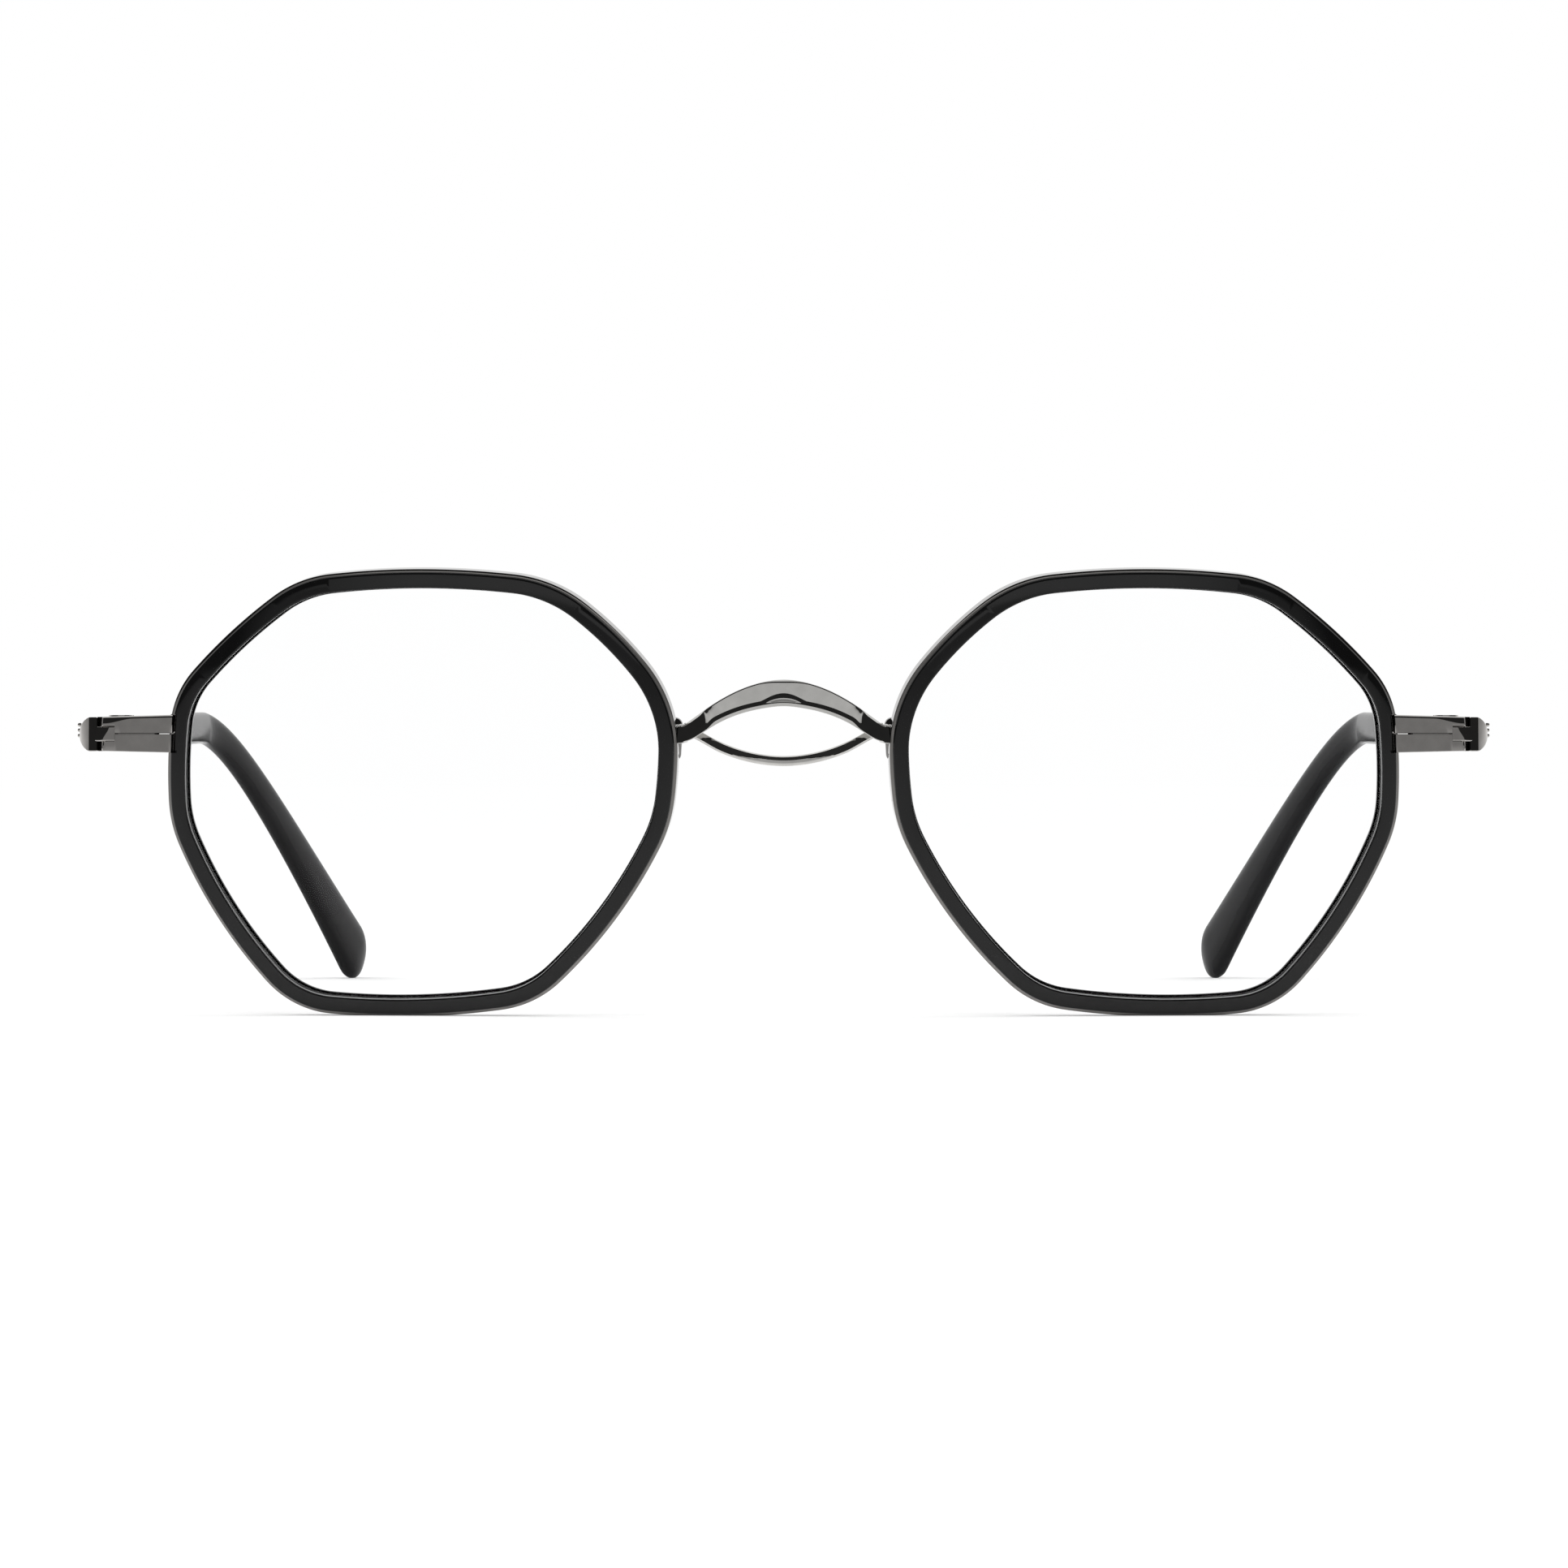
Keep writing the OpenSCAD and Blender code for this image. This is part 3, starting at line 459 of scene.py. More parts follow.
# Upper bar: its height at the ends, what the crest adds, how far the crest reaches and how square its flanks
# are, where the ends begin, and half the width of the scoop under the crest
BAR_END_H, BAR_CREST, CREST_REACH, CREST_POWER = 1.62, 0.98, 5.8, 2.4
BAR_ENDS_FROM, SCOOP_HALF = 7.0, 2.35
# How far the bar's line lies under the arch, how much less in the middle, and how softly the arch meets its
# level ends
BAR_LOW, BAR_MID_UP, ARCH_SOFT = 0.145, 0.085, 0.02
# How far the bar reaches before and behind its line
BAR_FRONT, BAR_BACK = 0.9, 0.6
# Its face looks down by the first angle and turns up by the second: from where, over what length, and how
# slanting the line is along which it turns
FACE_DOWN, FACE_TURN, TURN_FROM, TURN_LEN, TURN_SLANT = -12, 34, 6.75, 0.9, 1.14
# Collars: where they begin, how much fuller than the bar they are, and over what length they rise; then the
# depth, place and width of the groove round them
COLLAR_FROM, COLLAR_FULL, COLLAR_EDGE = 9.72, 0.14, 0.14
GROOVE_D, GROOVE_AT, GROOVE_W = 0.1, 0.62, 0.07
BAR_Y0 = NOSE_ANCHOR.y + WIRE_SET + WIRE_D / 2
BAR_REACH = NOSE_ANCHOR.x + 0.4


def arch(x, half):
    """A parabola over the middle that eases into a level line beyond half."""
    a = 1 - (x / half) ** 2
    return (a + math.sqrt(a * a + ARCH_SOFT)) / 2


def bar_point(x):
    z = NOSE_ANCHOR.z + BAR_RISE * arch(x, BAR_HALF) - BAR_LOW + BAR_MID_UP * math.exp(-(x / 2) ** 2)
    return Vector((x, BAR_Y0 - BAR_FORWARD * arch(x, BAR_REACH) ** 0.8, z))


def front_line(top, r_top, parts, r_low):
    """Front of a section, from its top edge down, between two roundings: facets given by their height and by
    how far they look up, in degrees."""
    first, last = parts[0][1], parts[-1][1]
    out = [(top - r_top * (1 - math.sin(rad(e))), -r_top * math.cos(rad(e)))
           for e in [90 - (90 - first) * k / 4 for k in range(5)]]
    for height, e in parts:
        a, b = out[-1]
        out.append((a - height, b - height * math.tan(rad(e))))
    a, b = out[-1]
    for k in range(1, 11):
        e = rad(last - (last + 90) * k / 10)
        out.append((a - r_low * (math.sin(rad(last)) - math.sin(e)),
                    b + r_low * (math.cos(rad(last)) - math.cos(e))))
    return out


def brought(front, to):
    """The line moved so that its foremost point lies at the depth given."""
    shift = to - min(b for a, b in front)
    return [(a, b + shift) for a, b in front]


def bar_section(x):
    """Section of the upper bar: a bevel that looks up, a thin dark line, a face that looks a little down and
    turns up near the rims, a groove that deepens to the scoop in the middle, and a bevel below."""
    x = abs(x)
    h = BAR_END_H + BAR_CREST * math.exp(-(x / CREST_REACH) ** CREST_POWER)
    scoop = max(0.0, math.cos(math.pi * x / (2 * SCOOP_HALF))) ** 1.2 if x < SCOOP_HALF else 0.0
    end = smooth((x - BAR_ENDS_FROM) / 1.0)
    r_top, r_low, sill = 0.1 + 0.15 * end, 0.1, 0.08
    top_bevel = 0.03 + 0.14 * math.exp(-(x / 1.3) ** 2) + 0.14 * end
    line, groove = 0.1 + 0.04 * scoop, 0.34 + 0.54 * scoop
    low_bevel = 0.02 + 0.24 * smooth((BAR_ENDS_FROM + 1 - x) / 1.2)
    face = h - top_bevel - r_low * 0.6 - line - groove - sill - low_bevel
    parts = [(top_bevel, 62), (line, 22)]
    for k in range(8):
        a = h / 2 - 0.3 - face * (k + 0.5) / 8
        up = smooth((x + TURN_SLANT * a - TURN_FROM) / TURN_LEN)
        parts.append((face / 8, FACE_DOWN + FACE_TURN * up))
    for k in range(6):
        parts.append((groove / 6, 15 - 19 * scoop ** 0.5 * k / 5 + 7 * end))
    parts += [(sill, 14 + 8 * end), (low_bevel, -26)]
    front = brought(front_line(h / 2, r_top, parts, r_low), -BAR_FRONT)
    low = front[-1][0]
    back = [(low, BAR_BACK / 2), (low + 0.2, BAR_BACK), (h / 2 - 0.3, BAR_BACK), (h / 2, BAR_BACK / 2)]
    return front + back


def along(point, x, section):
    """A section, given as heights and depths, square to the curve at x."""
    d = (point(x + 0.05) - point(x - 0.05)).normalized()
    up = d.cross(Vector((0, 1, 0))).normalized()
    if up.z < 0:
        up = -up
    back = up.cross(d)
    return [point(x) + up * a + back * b for a, b in section]


def bar_ring(x):
    """The bar's ends are held in collars with a thin groove round their middle."""
    s = abs(x) - COLLAR_FROM
    groove = GROOVE_D * math.exp(-((s - GROOVE_AT) / GROOVE_W) ** 2)
    size = 1 + COLLAR_FULL * smooth(s / COLLAR_EDGE) - groove
    return along(bar_point, x, [(a * size, b * (size if s > 0 else 1)) for a, b in bar_section(x)])


bar_xs = [COLLAR_FROM * i / 100 for i in range(100)]
bar_xs += [COLLAR_FROM + (BAR_REACH - COLLAR_FROM) * i / 40 for i in range(41)]
bar_xs = [-x for x in reversed(bar_xs[1:])] + bar_xs
bar = mesh("bar", *skin([bar_ring(x) for x in bar_xs]), False, sharp=13)
room = rim_strip(WIRE_OUT + WIRE_FULL + 0.01, WIRE_OUT - 6, -6, 8, 4, outer=False)
cut(bar, [mesh("room", *room, right, lens_frame=True) for right in (False, True)], sharp=13)
dress(bar, "front", ["bridge_bar"], BRIDGE_METAL)

# Lugs: how far their middle lies below the bar's ends, how far they lean, and how much steeper their top is
LUG_LOW, LUG_LEAN, LUG_STEEP = 1.02, rad(4), 0.45
LUG_U = nose_edge.x - 0.5 + LUG_W / 2
LUG_FRONT = RIM_D + PLAY + sag(Vector((nose_edge.x, HINGE_UP + LUG_H / 2 - LUG_LOW)))
# A low cone with a rounded rim: how far each ring is drawn in, and its depth
LUG_RINGS = ((0.72, 0.0), (0.3, 0.12), (0.08, 0.26), (0.02, 0.34), (0.0, 0.42), (0.0, LUG_T))
LUG_N = 64

# Saddle: its thickness, and how far its ends rise above the height of the hinges before it is lowered
SADDLE_D, SADDLE_RISE = 1.18, 0.85
# How far it is lowered: in the middle, what is added on its way to the rims, and what is added at its ends
SADDLE_LOW, SIDES_LOW, ENDS_LOW = 0.34, 0.18, 0.15
# The upper flat and the lower bevel of its front: their heights and how far they look up, in degrees
UPPER_FLAT, LOWER_BEVEL = (0.3, 20), (0.14, -30)
# The four strips between them: their height, how far they look up, how far they turn up towards the rims,
# where the first one turns, how much later each next one does, and over what length
STRIP_H, STRIP_UP, STRIP_TURN, STRIP_FROM, STRIP_STEP, STRIP_LEN = 0.095, -3, 20, 2.4, 0.8, 0.5
SADDLE_END = place(LUG_U - LUG_W / 2, LUG_FRONT + LUG_T / 2, HINGE_UP)


def saddle_point(x):
    t = abs(x / SADDLE_END.x)
    lower = SADDLE_LOW + SIDES_LOW * smooth(t / 0.8) + ENDS_LOW * smooth((t - 0.8) / 0.2)
    z = SADDLE_END.z + SADDLE_RISE - (SADDLE_DROP + SADDLE_RISE) * (1 - t ** 1.9) - lower
    return Vector((x, SADDLE_END.y + SADDLE_BACK * (1 - t * t), z))


def saddle_section(x):
    """Wire with flats on its front. The lower flat is four strips that turn up one after another towards the
    rims."""
    x = abs(x)
    parts = [(0.11 - 0.08 * smooth((x - 6) / 2), 60), UPPER_FLAT]
    parts += [(STRIP_H, STRIP_UP + STRIP_TURN * smooth((x - STRIP_FROM - STRIP_STEP * k) / STRIP_LEN))
              for k in range(4)]
    front = brought(front_line(SADDLE_D / 2, 0.08, parts + [LOWER_BEVEL], 0.12), -SADDLE_D / 2)
    return front + [(front[-1][0], 0.1), (-SADDLE_D * 0.3, SADDLE_D * 0.4), (0, SADDLE_D / 2),
                    (SADDLE_D * 0.3, SADDLE_D * 0.4)]


saddle_reach = SADDLE_END.x + 0.1
saddle_xs = [-saddle_reach + 2 * saddle_reach * i / 120 for i in range(121)]
saddle = mesh("saddle", *skin([along(saddle_point, x, saddle_section(x)) for x in saddle_xs]), False)
dress(saddle, "front", ["bridge_saddle"], SADDLE_METAL)


def deep(a):
    """The lug's front falls off more steeply towards its top."""
    return 1 + LUG_STEEP * max(0.0, math.sin(a))


def lug_ring(inset, d):
    ring = []
    for k in range(LUG_N):
        a = 2 * math.pi * k / LUG_N
        half = LUG_W / 2 - inset
        end = (LUG_H - LUG_W) / 2 * (1 if k < LUG_N / 2 else -1)
        u, v = math.cos(a) * half, math.sin(a) * half + end - LUG_LOW
        ring.append((LUG_U + u * math.cos(LUG_LEAN) - v * math.sin(LUG_LEAN), LUG_FRONT + d * deep(a),
                     HINGE_UP + u * math.sin(LUG_LEAN) + v * math.cos(LUG_LEAN)))
    return ring


for side, right in (("left", False), ("right", True)):
    lug = mesh(f"lug_{side}", *skin([lug_ring(inset, d) for inset, d in LUG_RINGS]), right, lens_frame=True)
    dress(lug, "front", [f"bridge_lug_{side}"], LUG_METAL)

# Temples and tips

# Their frame has its origin in the middle of the hinge pin.
INNER_X = PIN_INSET + 0.5
PATH_X0 = INNER_X + TEMPLE_T / 2
TIP_END = STRAIGHT + DROP_RUN
# How far the straight part bows inwards, and over what length
BOW, BOW_LEN = 0.25, 60
# Profile of the temple's outer face: where its middle line lies and how deep it is, as shares of the
# thickness, how much deeper it is near the hinge, and the power of its curve
FACE_AT, FACE_D, FACE_FULL, FACE_POWER = -0.12, 0.62, 0.14, 1.7
# Nose of the temple: how far it stands before the knuckles, its length, its flat front as a share of the
# thickness, the power of its curve, and the radius at its top and bottom
NOSE_AT, NOSE_LEN, NOSE_FLAT, NOSE_POWER, NOSE_ROUND = 0.35, 2.1, 0.46, 2.6, 0.08
# Its slant outwards and upwards, the length over which the slant fades, and the chamfer and its length
NOSE_SLANT, NOSE_LEAN, SLANT_LEN, CHAMFER, CHAMFER_LEN = rad(21), 0.08, 6, 0.14, 1.2
# Rivets: how far behind the pin and above its middle they sit
RIVET_AT, RIVET_UP = 1.2, 0.38
RIVET_DOME = ((0, 0.95), (0.1, 1.0), (0.22, 1.0), (0.29, 0.93), (0.34, 0.75), (0.37, 0.5), (0.38, 0.2))


def ease(t, k):
    """From 0 to 1 with a soft start, softer with a larger k."""
    return (math.sqrt(t * t + k * k) - k) / (math.sqrt(1 + k * k) - k)


def bent(y):
    return max(0.0, (y - STRAIGHT) / DROP_RUN)


def temple_path(y, drop):
    x = PATH_X0 - y * math.tan(SPLAY) - BOW * smooth(y / BOW_LEN) - TUCK * ease(bent(y), TUCK_SOFT)
    return Vector((x, y, min(y, STRAIGHT) * math.tan(RISE) - drop * ease(bent(y), BEND_SOFT)))


def path_ring(y, section, drop):
    d = (temple_path(y + 0.05, drop) - temple_path(y - 0.05, drop)).normalized()
    s = d.cross(Vector((0, 0, 1))).normalized()
    u = s.cross(d)
    c = temple_path(y, drop)
    return [c + s * p[0] + u * p[1] for p in reversed(section)]


def swell(f):
    return max(0.0, (f - SWELL_FROM) / (1 - SWELL_FROM)) ** 2.2


def end_round(f):
    if f < ROUND_FROM:
        return 1.0
    return math.sqrt(max(0.0004, 1 - ((f - ROUND_FROM) / (1 - ROUND_FROM)) ** 2))


def tip_section(f, n=40):
    """An oval, a little squared, at the share f of the tip's length."""
    t = (TIP_T + (PADDLE_T - TIP_T) * swell(f)) * end_round(f)
    h = (TIP_H + (PADDLE_H - TIP_H) * swell(f)) * end_round(f)
    out = []
    for j in range(n):
        a = 2 * math.pi * (j + 0.5) / n
        c, s = math.cos(a), math.sin(a)
        out.append((t / 2 * math.copysign(abs(c) ** 0.8, c), h / 2 * math.copysign(abs(s) ** 0.8, s)))
    return out


def tip_rings(drop, n=120):
    """Rings of the tip, closer together towards its round end."""
    rings = []
    for i in range(n + 1):
        t = i / n
        f = 1 - (1 - t) * (1 - 0.95 * t ** 8)
        rings.append(path_ring(SLEEVE_AT + (TIP_END - SLEEVE_AT) * f, tip_section(f), drop))
    return rings


# The drop of the bent part is found by steps, so that the tips stand on the ground.
drop = PIN.z + SHIFT.z
for _ in range(4):
    drop += min(p.z for r in tip_rings(drop, 60) for p in r) + PIN.z + SHIFT.z

# Heights of the points of the outer face as shares of the temple's height, closer together at its edges
LEVELS = [0.5, 0.498, 0.492, 0.48, 0.465] + [0.45 - 0.025 * k for k in range(18)]
LEVELS += [0.0] + [-b for b in reversed(LEVELS)]


def profile_x(b, full):
    """How far out the outer face lies at the height b, both as shares of the bar's size; full is what the bar
    is thicker by."""
    return FACE_AT + (FACE_D + full) * (1 - min(1.0, 2 * abs(b)) ** FACE_POWER) ** (1 / FACE_POWER)


def nose_width(q, full):
    """How wide the temple is at the distance q behind its front, as a share of its thickness."""
    u = min(1.0, q / NOSE_LEN)
    return NOSE_FLAT + (1 + full - NOSE_FLAT) * (1 - (1 - u) ** NOSE_POWER)


def slanted(p, q):
    """The front is cut back on its outer side, with a chamfer on its inner edge."""
    x = p.x - INNER_X
    edge_back = (max(0.0, CHAMFER - x) + NOSE_LEAN * p.z) * (1 - smooth(q / CHAMFER_LEN))
    return p + Vector((0, math.tan(NOSE_SLANT) * (1 - smooth(q / SLANT_LEN)) * x + edge_back, 0))


def temple_mesh():
    """A bar with a gently rounded outer face, cut back at the front by a rounding about the vertical."""
    front = -KNUCKLE_R - NOSE_AT
    nose_ys = [front + NOSE_LEN * (i / 24) ** 1.6 for i in range(25)]
    rings = []
    for y in nose_ys + [SLEEVE_AT * i / 40 for i in range(1, 41)]:
        f, q = max(0.0, y) / SLEEVE_AT, y - front
        t, h = TEMPLE_T + (TEMPLE_END_T - TEMPLE_T) * f, HINGE_H + (TEMPLE_H - HINGE_H) * f
        h -= 2 * (NOSE_ROUND - math.sqrt(NOSE_ROUND ** 2 - max(0.0, NOSE_ROUND - q) ** 2))
        full = FACE_FULL * (1 - smooth(y / 20))
        section = [(t * min(profile_x(b, full), nose_width(q, full) - 0.5), h * b) for b in LEVELS]
        section += [(-t / 2 + 0.05, -h / 2), (-t / 2, -h / 2 + 0.05)]
        section += [(-t / 2, h / 2 - 0.05), (-t / 2 + 0.05, h / 2)]
        rings.append([slanted(p, q) for p in path_ring(y, section, drop)])
    return skin(rings)


def turned(piece):
    """From a frame whose x runs outwards along the endpiece to that of the glasses."""
    c, s = math.cos(SWEEP), math.sin(SWEEP)
    return [(x * c - y * s, x * s + y * c, z) for x, y, z in piece[0]], piece[1]


def knuckle_mesh(z0, z1, chamfer=0.08):
    """A knuckle between two heights, round behind the pin and square where it meets the temple."""
    plan = [(INNER_X + 0.2, -KNUCKLE_R + 0.7), (INNER_X + 0.2, KNUCKLE_R), (0, KNUCKLE_R)]
    plan += [(-KNUCKLE_R * math.sin(math.pi * k / 32), KNUCKLE_R * math.cos(math.pi * k / 32))
             for k in range(1, 32)]
    plan += [(0, -KNUCKLE_R)]
    rings = []
    for inset, z in ((chamfer, z0), (0.0, z0 + chamfer), (0.0, z1 - chamfer), (chamfer, z1)):
        k = 1 - inset / KNUCKLE_R
        rings.append([(x * k if x < 0 else x, y * k, z) for x, y in plan])
    return turned(skin(rings))


# The webs that join the knuckles to the temple beside the plate's outer end
WEB_PLAN = ((1.3, -1.15), (1.5, -1.25), (INNER_X + 0.1, -0.8), (INNER_X + 0.1, 1.2), (1.3, 1.2))


def web_mesh(z0, z1):
    return skin([[(x, y, z) for x, y in WEB_PLAN] for z in (z0, z1)])


def rivet_mesh(k):
    base = temple_path(RIVET_AT, drop) + Vector((TEMPLE_T / 2 + 0.15, 0, k * RIVET_PITCH + RIVET_UP))
    return skin([[base + Vector((out, RIVET_R * r * math.cos(rad(a)), RIVET_R * r * math.sin(rad(a))))
                  for a in range(0, 360, 15)] for out, r in RIVET_DOME])


low = KNUCKLE_H / 2 + HINGE_GAP
webs = joined([web_mesh(-HINGE_H / 2, -low), web_mesh(low, HINGE_H / 2)])
for side, right in (("left", False), ("right", True)):
    body = f"{side}_temple"
    arm = mesh(f"arm_{side}", *temple_mesh(), right, sharp=14, at=PIN)
    dress(arm, body, [f"temple_{side}"], FRAME_METAL)
    web = mesh(f"web_{side}", *webs, right, at=PIN)
    dress(web, body, [f"temple_{side}"], FRAME_METAL)
    for part, z0, z1 in (("low", -HINGE_H / 2, -low), ("high", low, HINGE_H / 2 + HEAD_PROUD - HEAD_T)):
        k = mesh(f"knuckle_{part}_{side}", *knuckle_mesh(z0, z1), right, at=PIN)
        dress(k, body, [f"temple_{side}"], FRAME_METAL)
    rivets = mesh(f"rivets_{side}", *joined([rivet_mesh(k) for k in (-1, 0, 1)]), right, at=PIN)
    dress(rivets, body, [f"temple_rivets_{side}"], SCREW_METAL)
    tip = mesh(f"tip_{side}", *skin(tip_rings(drop)), right, at=PIN)
    dress(tip, body, [f"temple_tip_{side}"], TIP_BLACK)

# Endpieces

# Their frame has its origin in the middle of the hinge pin, and its x runs outwards along the plate.
FORK_ROOT = PIN_INSET - FORK_LEN
BLOCK_END = -KNUCKLE_R - 0.35
PLATE_BACK = -(KNUCKLE_R + PLATE_GAP)
BLOCK_BACK = PLATE_FRONT + BLOCK_D
# Half the saw cut in the plate, and how far from the middle the ears of the fork begin
SLIT, EAR = 0.045, KNUCKLE_H / 2 + HINGE_GAP - 0.02
# The saw cut shows through only from here to the rim.
SHIM_END = -3.9
# Steps along the plate's face, and how steeply the bevels of its long edges fall back, in degrees
FACE_N, EDGE_BEVEL = 14, 62
# Tongue of the middle knuckle: the radius and the turn of its curl, where the curl begins at the top and how
# much later at the bottom, how far out the tongue reaches, and the rounding of its edges
TONGUE_R, TONGUE_TURN, CURL_FROM, CURL_LATER, TONGUE_END, TONGUE_EDGE = 1.5, 26, 0.5, 0.66, 2.05, 0.09


def end_half(x):
    return (HINGE_H + (END_H - HINGE_H) * min(1.0, (PIN_INSET - x) / END_LEN)) / 2


def in_end_frame(p):
    d = p - PIN
    return d.x * math.cos(SWEEP) + d.y * math.sin(SWEEP), -d.x * math.sin(SWEEP) + d.y * math.cos(SWEEP)


def rim_x(z, off, y):
    """Where the line at the distance y behind the pin, at the height z, meets the rim moved out by off."""
    depth = sag(outer_edge) + 1.0
    v = (PIN.z + z - depth * math.sin(TILT)) / math.cos(TILT)
    px, py = in_end_frame(place(edge_x(v, off, True), depth, v))
    return px + (y - py) * math.sin(SWEEP - WRAP)


def end_x(y):
    """Where the outer end, square to the glasses, lies at the distance y behind the pin."""
    return (PIN_INSET + y * math.sin(SWEEP)) / math.cos(SWEEP)


def edge_levels(z, facet, slant, s, r):
    """Heights and set-backs along the rounded edge at height z; a facet below it leans back by slant."""
    depth = facet * math.tan(rad(slant)) + r * math.tan(rad(EDGE_BEVEL))
    out = [(z, depth + 0.06), (z - s * 0.01, depth + 0.02)]
    for height, e in ((r, EDGE_BEVEL), (facet, slant)):
        out += [(out[-1][0] - s * 0.005, depth), (out[-1][0] - s * height, depth - height * math.tan(rad(e)))]
        depth = out[-1][1]
    return out


def face_points(x0, x1, levels, k):
    """The plate's front face at level k from x0 to x1."""
    xs = [x0 + (x1 - x0) * i / FACE_N for i in range(FACE_N + 1)]
    return [(x, PLATE_FRONT + levels(x)[k][1]) for x in xs]


def ear_plan(levels, k):
    """Outline of an ear of the fork at level k, from its outer end to the root."""
    x0 = end_x(PLATE_FRONT)
    back = levels(x0)[k][1]
    ring = [(end_x(PLATE_BACK), PLATE_BACK), (end_x(PLATE_FRONT + 0.09), PLATE_FRONT + 0.09 + back),
            (x0 - 0.11, PLATE_FRONT + back)]
    return ring + face_points(x0 - 0.15, FORK_ROOT, levels, k) + [(FORK_ROOT, PLATE_BACK)]


def plate_plan(levels, k):
    """Outline of the plate and its clamp block at level k, from the fork's root to the rim."""
    z = levels(-PIN_LEN)[k][0]
    lip = place(outer_edge.x - END_LAP, sag(outer_edge) + WIRE_SET - LIP_GAP, HINGE_UP)
    lip_back = in_end_frame(lip)[1]
    tip = rim_x(z, RING_OUT + 0.03, PLATE_FRONT)
    wire = rim_x(z, WIRE_OUT + WIRE_FULL + 0.01, PLATE_FRONT + 1)
    bevel = 0.13 + 0.05 * z
    ring = [(FORK_ROOT, PLATE_BACK)] + face_points(FORK_ROOT, tip + bevel, levels, k)
    ring += [(tip + 0.02, PLATE_FRONT + levels(tip)[k][1] + bevel), (tip, lip_back), (wire, lip_back)]
    return ring + [(wire, BLOCK_BACK), (BLOCK_END, BLOCK_BACK), (BLOCK_END, PLATE_BACK)]


def end_slab(plan, low, high, facet):
    """Part of the plate between two heights, which may change along it."""
    top_edge = high is end_half
    round_up = 0.1 if top_edge else 0.02
    round_down = 0.09 if top_edge and plan is ear_plan else 0.04

    def levels(x):
        up = edge_levels(high(x), facet(x), 20, 1, round_up)
        return edge_levels(low(x), 0.02, 5, -1, round_down) + up[::-1]

    return skin([[(x, y, levels(min(x, PIN_INSET))[k][0]) for x, y in plan(levels, k)]
                 for k in range(len(levels(0)))])


def tongue():
    """Middle knuckle: its front curls back early at its top and late at its bottom."""
    h, r = KNUCKLE_H / 2 + HINGE_GAP - 0.01, TONGUE_EDGE
    zs = [(-h + r * (1 - math.cos(rad(a))), r * (1 - math.sin(rad(a)))) for a in range(0, 91, 15)]
    zs += [(-h + r + (2 * h - 2 * r) * k / 10, 0.0) for k in range(1, 10)]
    zs += [(h - r * (1 - math.cos(rad(a))), r * (1 - math.sin(rad(a)))) for a in range(90, -1, -15)]
    rings = []
    for z, inset in zs:
        flat = CURL_FROM + CURL_LATER * (1 - smooth((z + h) / (2 * h)))
        front, end = PLATE_FRONT + inset, TONGUE_END - inset
        ring = [(FORK_ROOT - 0.02, front)]
        ring += [(flat + TONGUE_R * math.sin(rad(a)), front + TONGUE_R * (1 - math.cos(rad(a))))
                 for a in range(0, TONGUE_TURN + 1, 2)]
        x, y = ring[-1]
        ring.append((end, y + (end - x) * math.tan(rad(TONGUE_TURN))))
        ring += [(end, -2.0), (end_x(-1.8), -1.8), (end_x(-1.0) - 0.1 - inset, -0.8)]
        ring += [(KNUCKLE_R * math.cos(rad(a)), KNUCKLE_R * math.sin(rad(a))) for a in range(0, 181, 12)]
        ring += [(-1.2, -0.7), (-0.6, -1.25), (FORK_ROOT - 0.02, -1.4)]
        rings.append([(x, y, z) for x, y in ring])
    return skin(rings)


def shim():
    """The uncut back of the plate behind the saw cut."""
    front = PLATE_FRONT + 0.7
    plan = [(FORK_ROOT, PLATE_BACK), (FORK_ROOT, front), (SHIM_END, front), (SHIM_END, PLATE_BACK)]
    return skin([[(x, y, z) for x, y in plan] for z in (-SLIT, SLIT)])


def top_facet(x):
    """The facet along the top edge grows towards the outer end."""
    return 0.16 + 0.42 * smooth((x + 1.9) / 2.9)


def low_ear_facet(x):
    """The lower ear has a facet along its inner edge near the outer end only."""
    return 0.01 + 0.45 * smooth((x - 0.85) / 0.3)


end_parts = [end_slab(plate_plan, lambda x: SLIT, end_half, top_facet),
             end_slab(ear_plan, lambda x: EAR, end_half, top_facet),
             end_slab(plate_plan, lambda x: -end_half(x), lambda x: -SLIT, lambda x: 0.01),
             end_slab(ear_plan, lambda x: -end_half(x), lambda x: -EAR, low_ear_facet),
             shim(),
             tongue()]

for side, right in (("left", False), ("right", True)):
    end = mesh(f"end_{side}", *joined([turned(p) for p in end_parts]), right, sharp=14, at=PIN)
    dress(end, "front", [f"endpiece_{side}"], FRAME_METAL)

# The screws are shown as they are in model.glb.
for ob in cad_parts.values():
    if not ob.hide_render:
        ob.data.materials.clear()
        ob.data.materials.append(SCREW_METAL)


# Stage, light and camera, in metres
def seen_rays(tree):
    """1 for the rays that show the background: the camera's, mirrored ones and those through glass."""
    path = tree.nodes.new("ShaderNodeLightPath")
    seen = path.outputs["Is Camera Ray"]
    for other in ("Is Glossy Ray", "Is Transmission Ray"):
        either = tree.nodes.new("ShaderNodeMath")
        either.operation = "MAXIMUM"
        tree.links.new(seen, either.inputs[0])
        tree.links.new(path.outputs[other], either.inputs[1])
        seen = either.outputs["Value"]
    return seen


def seen_as(tree, plain, shown, output):
    """The background is shown to the seen rays, and stays plain for all others."""
    mix = tree.nodes.new("ShaderNodeMixShader")
    tree.links.new(seen_rays(tree), mix.inputs["Fac"])
    tree.links.new(plain, mix.inputs[1])
    tree.links.new(shown, mix.inputs[2])
    tree.links.new(mix.outputs["Shader"], tree.nodes[output].inputs["Surface"])


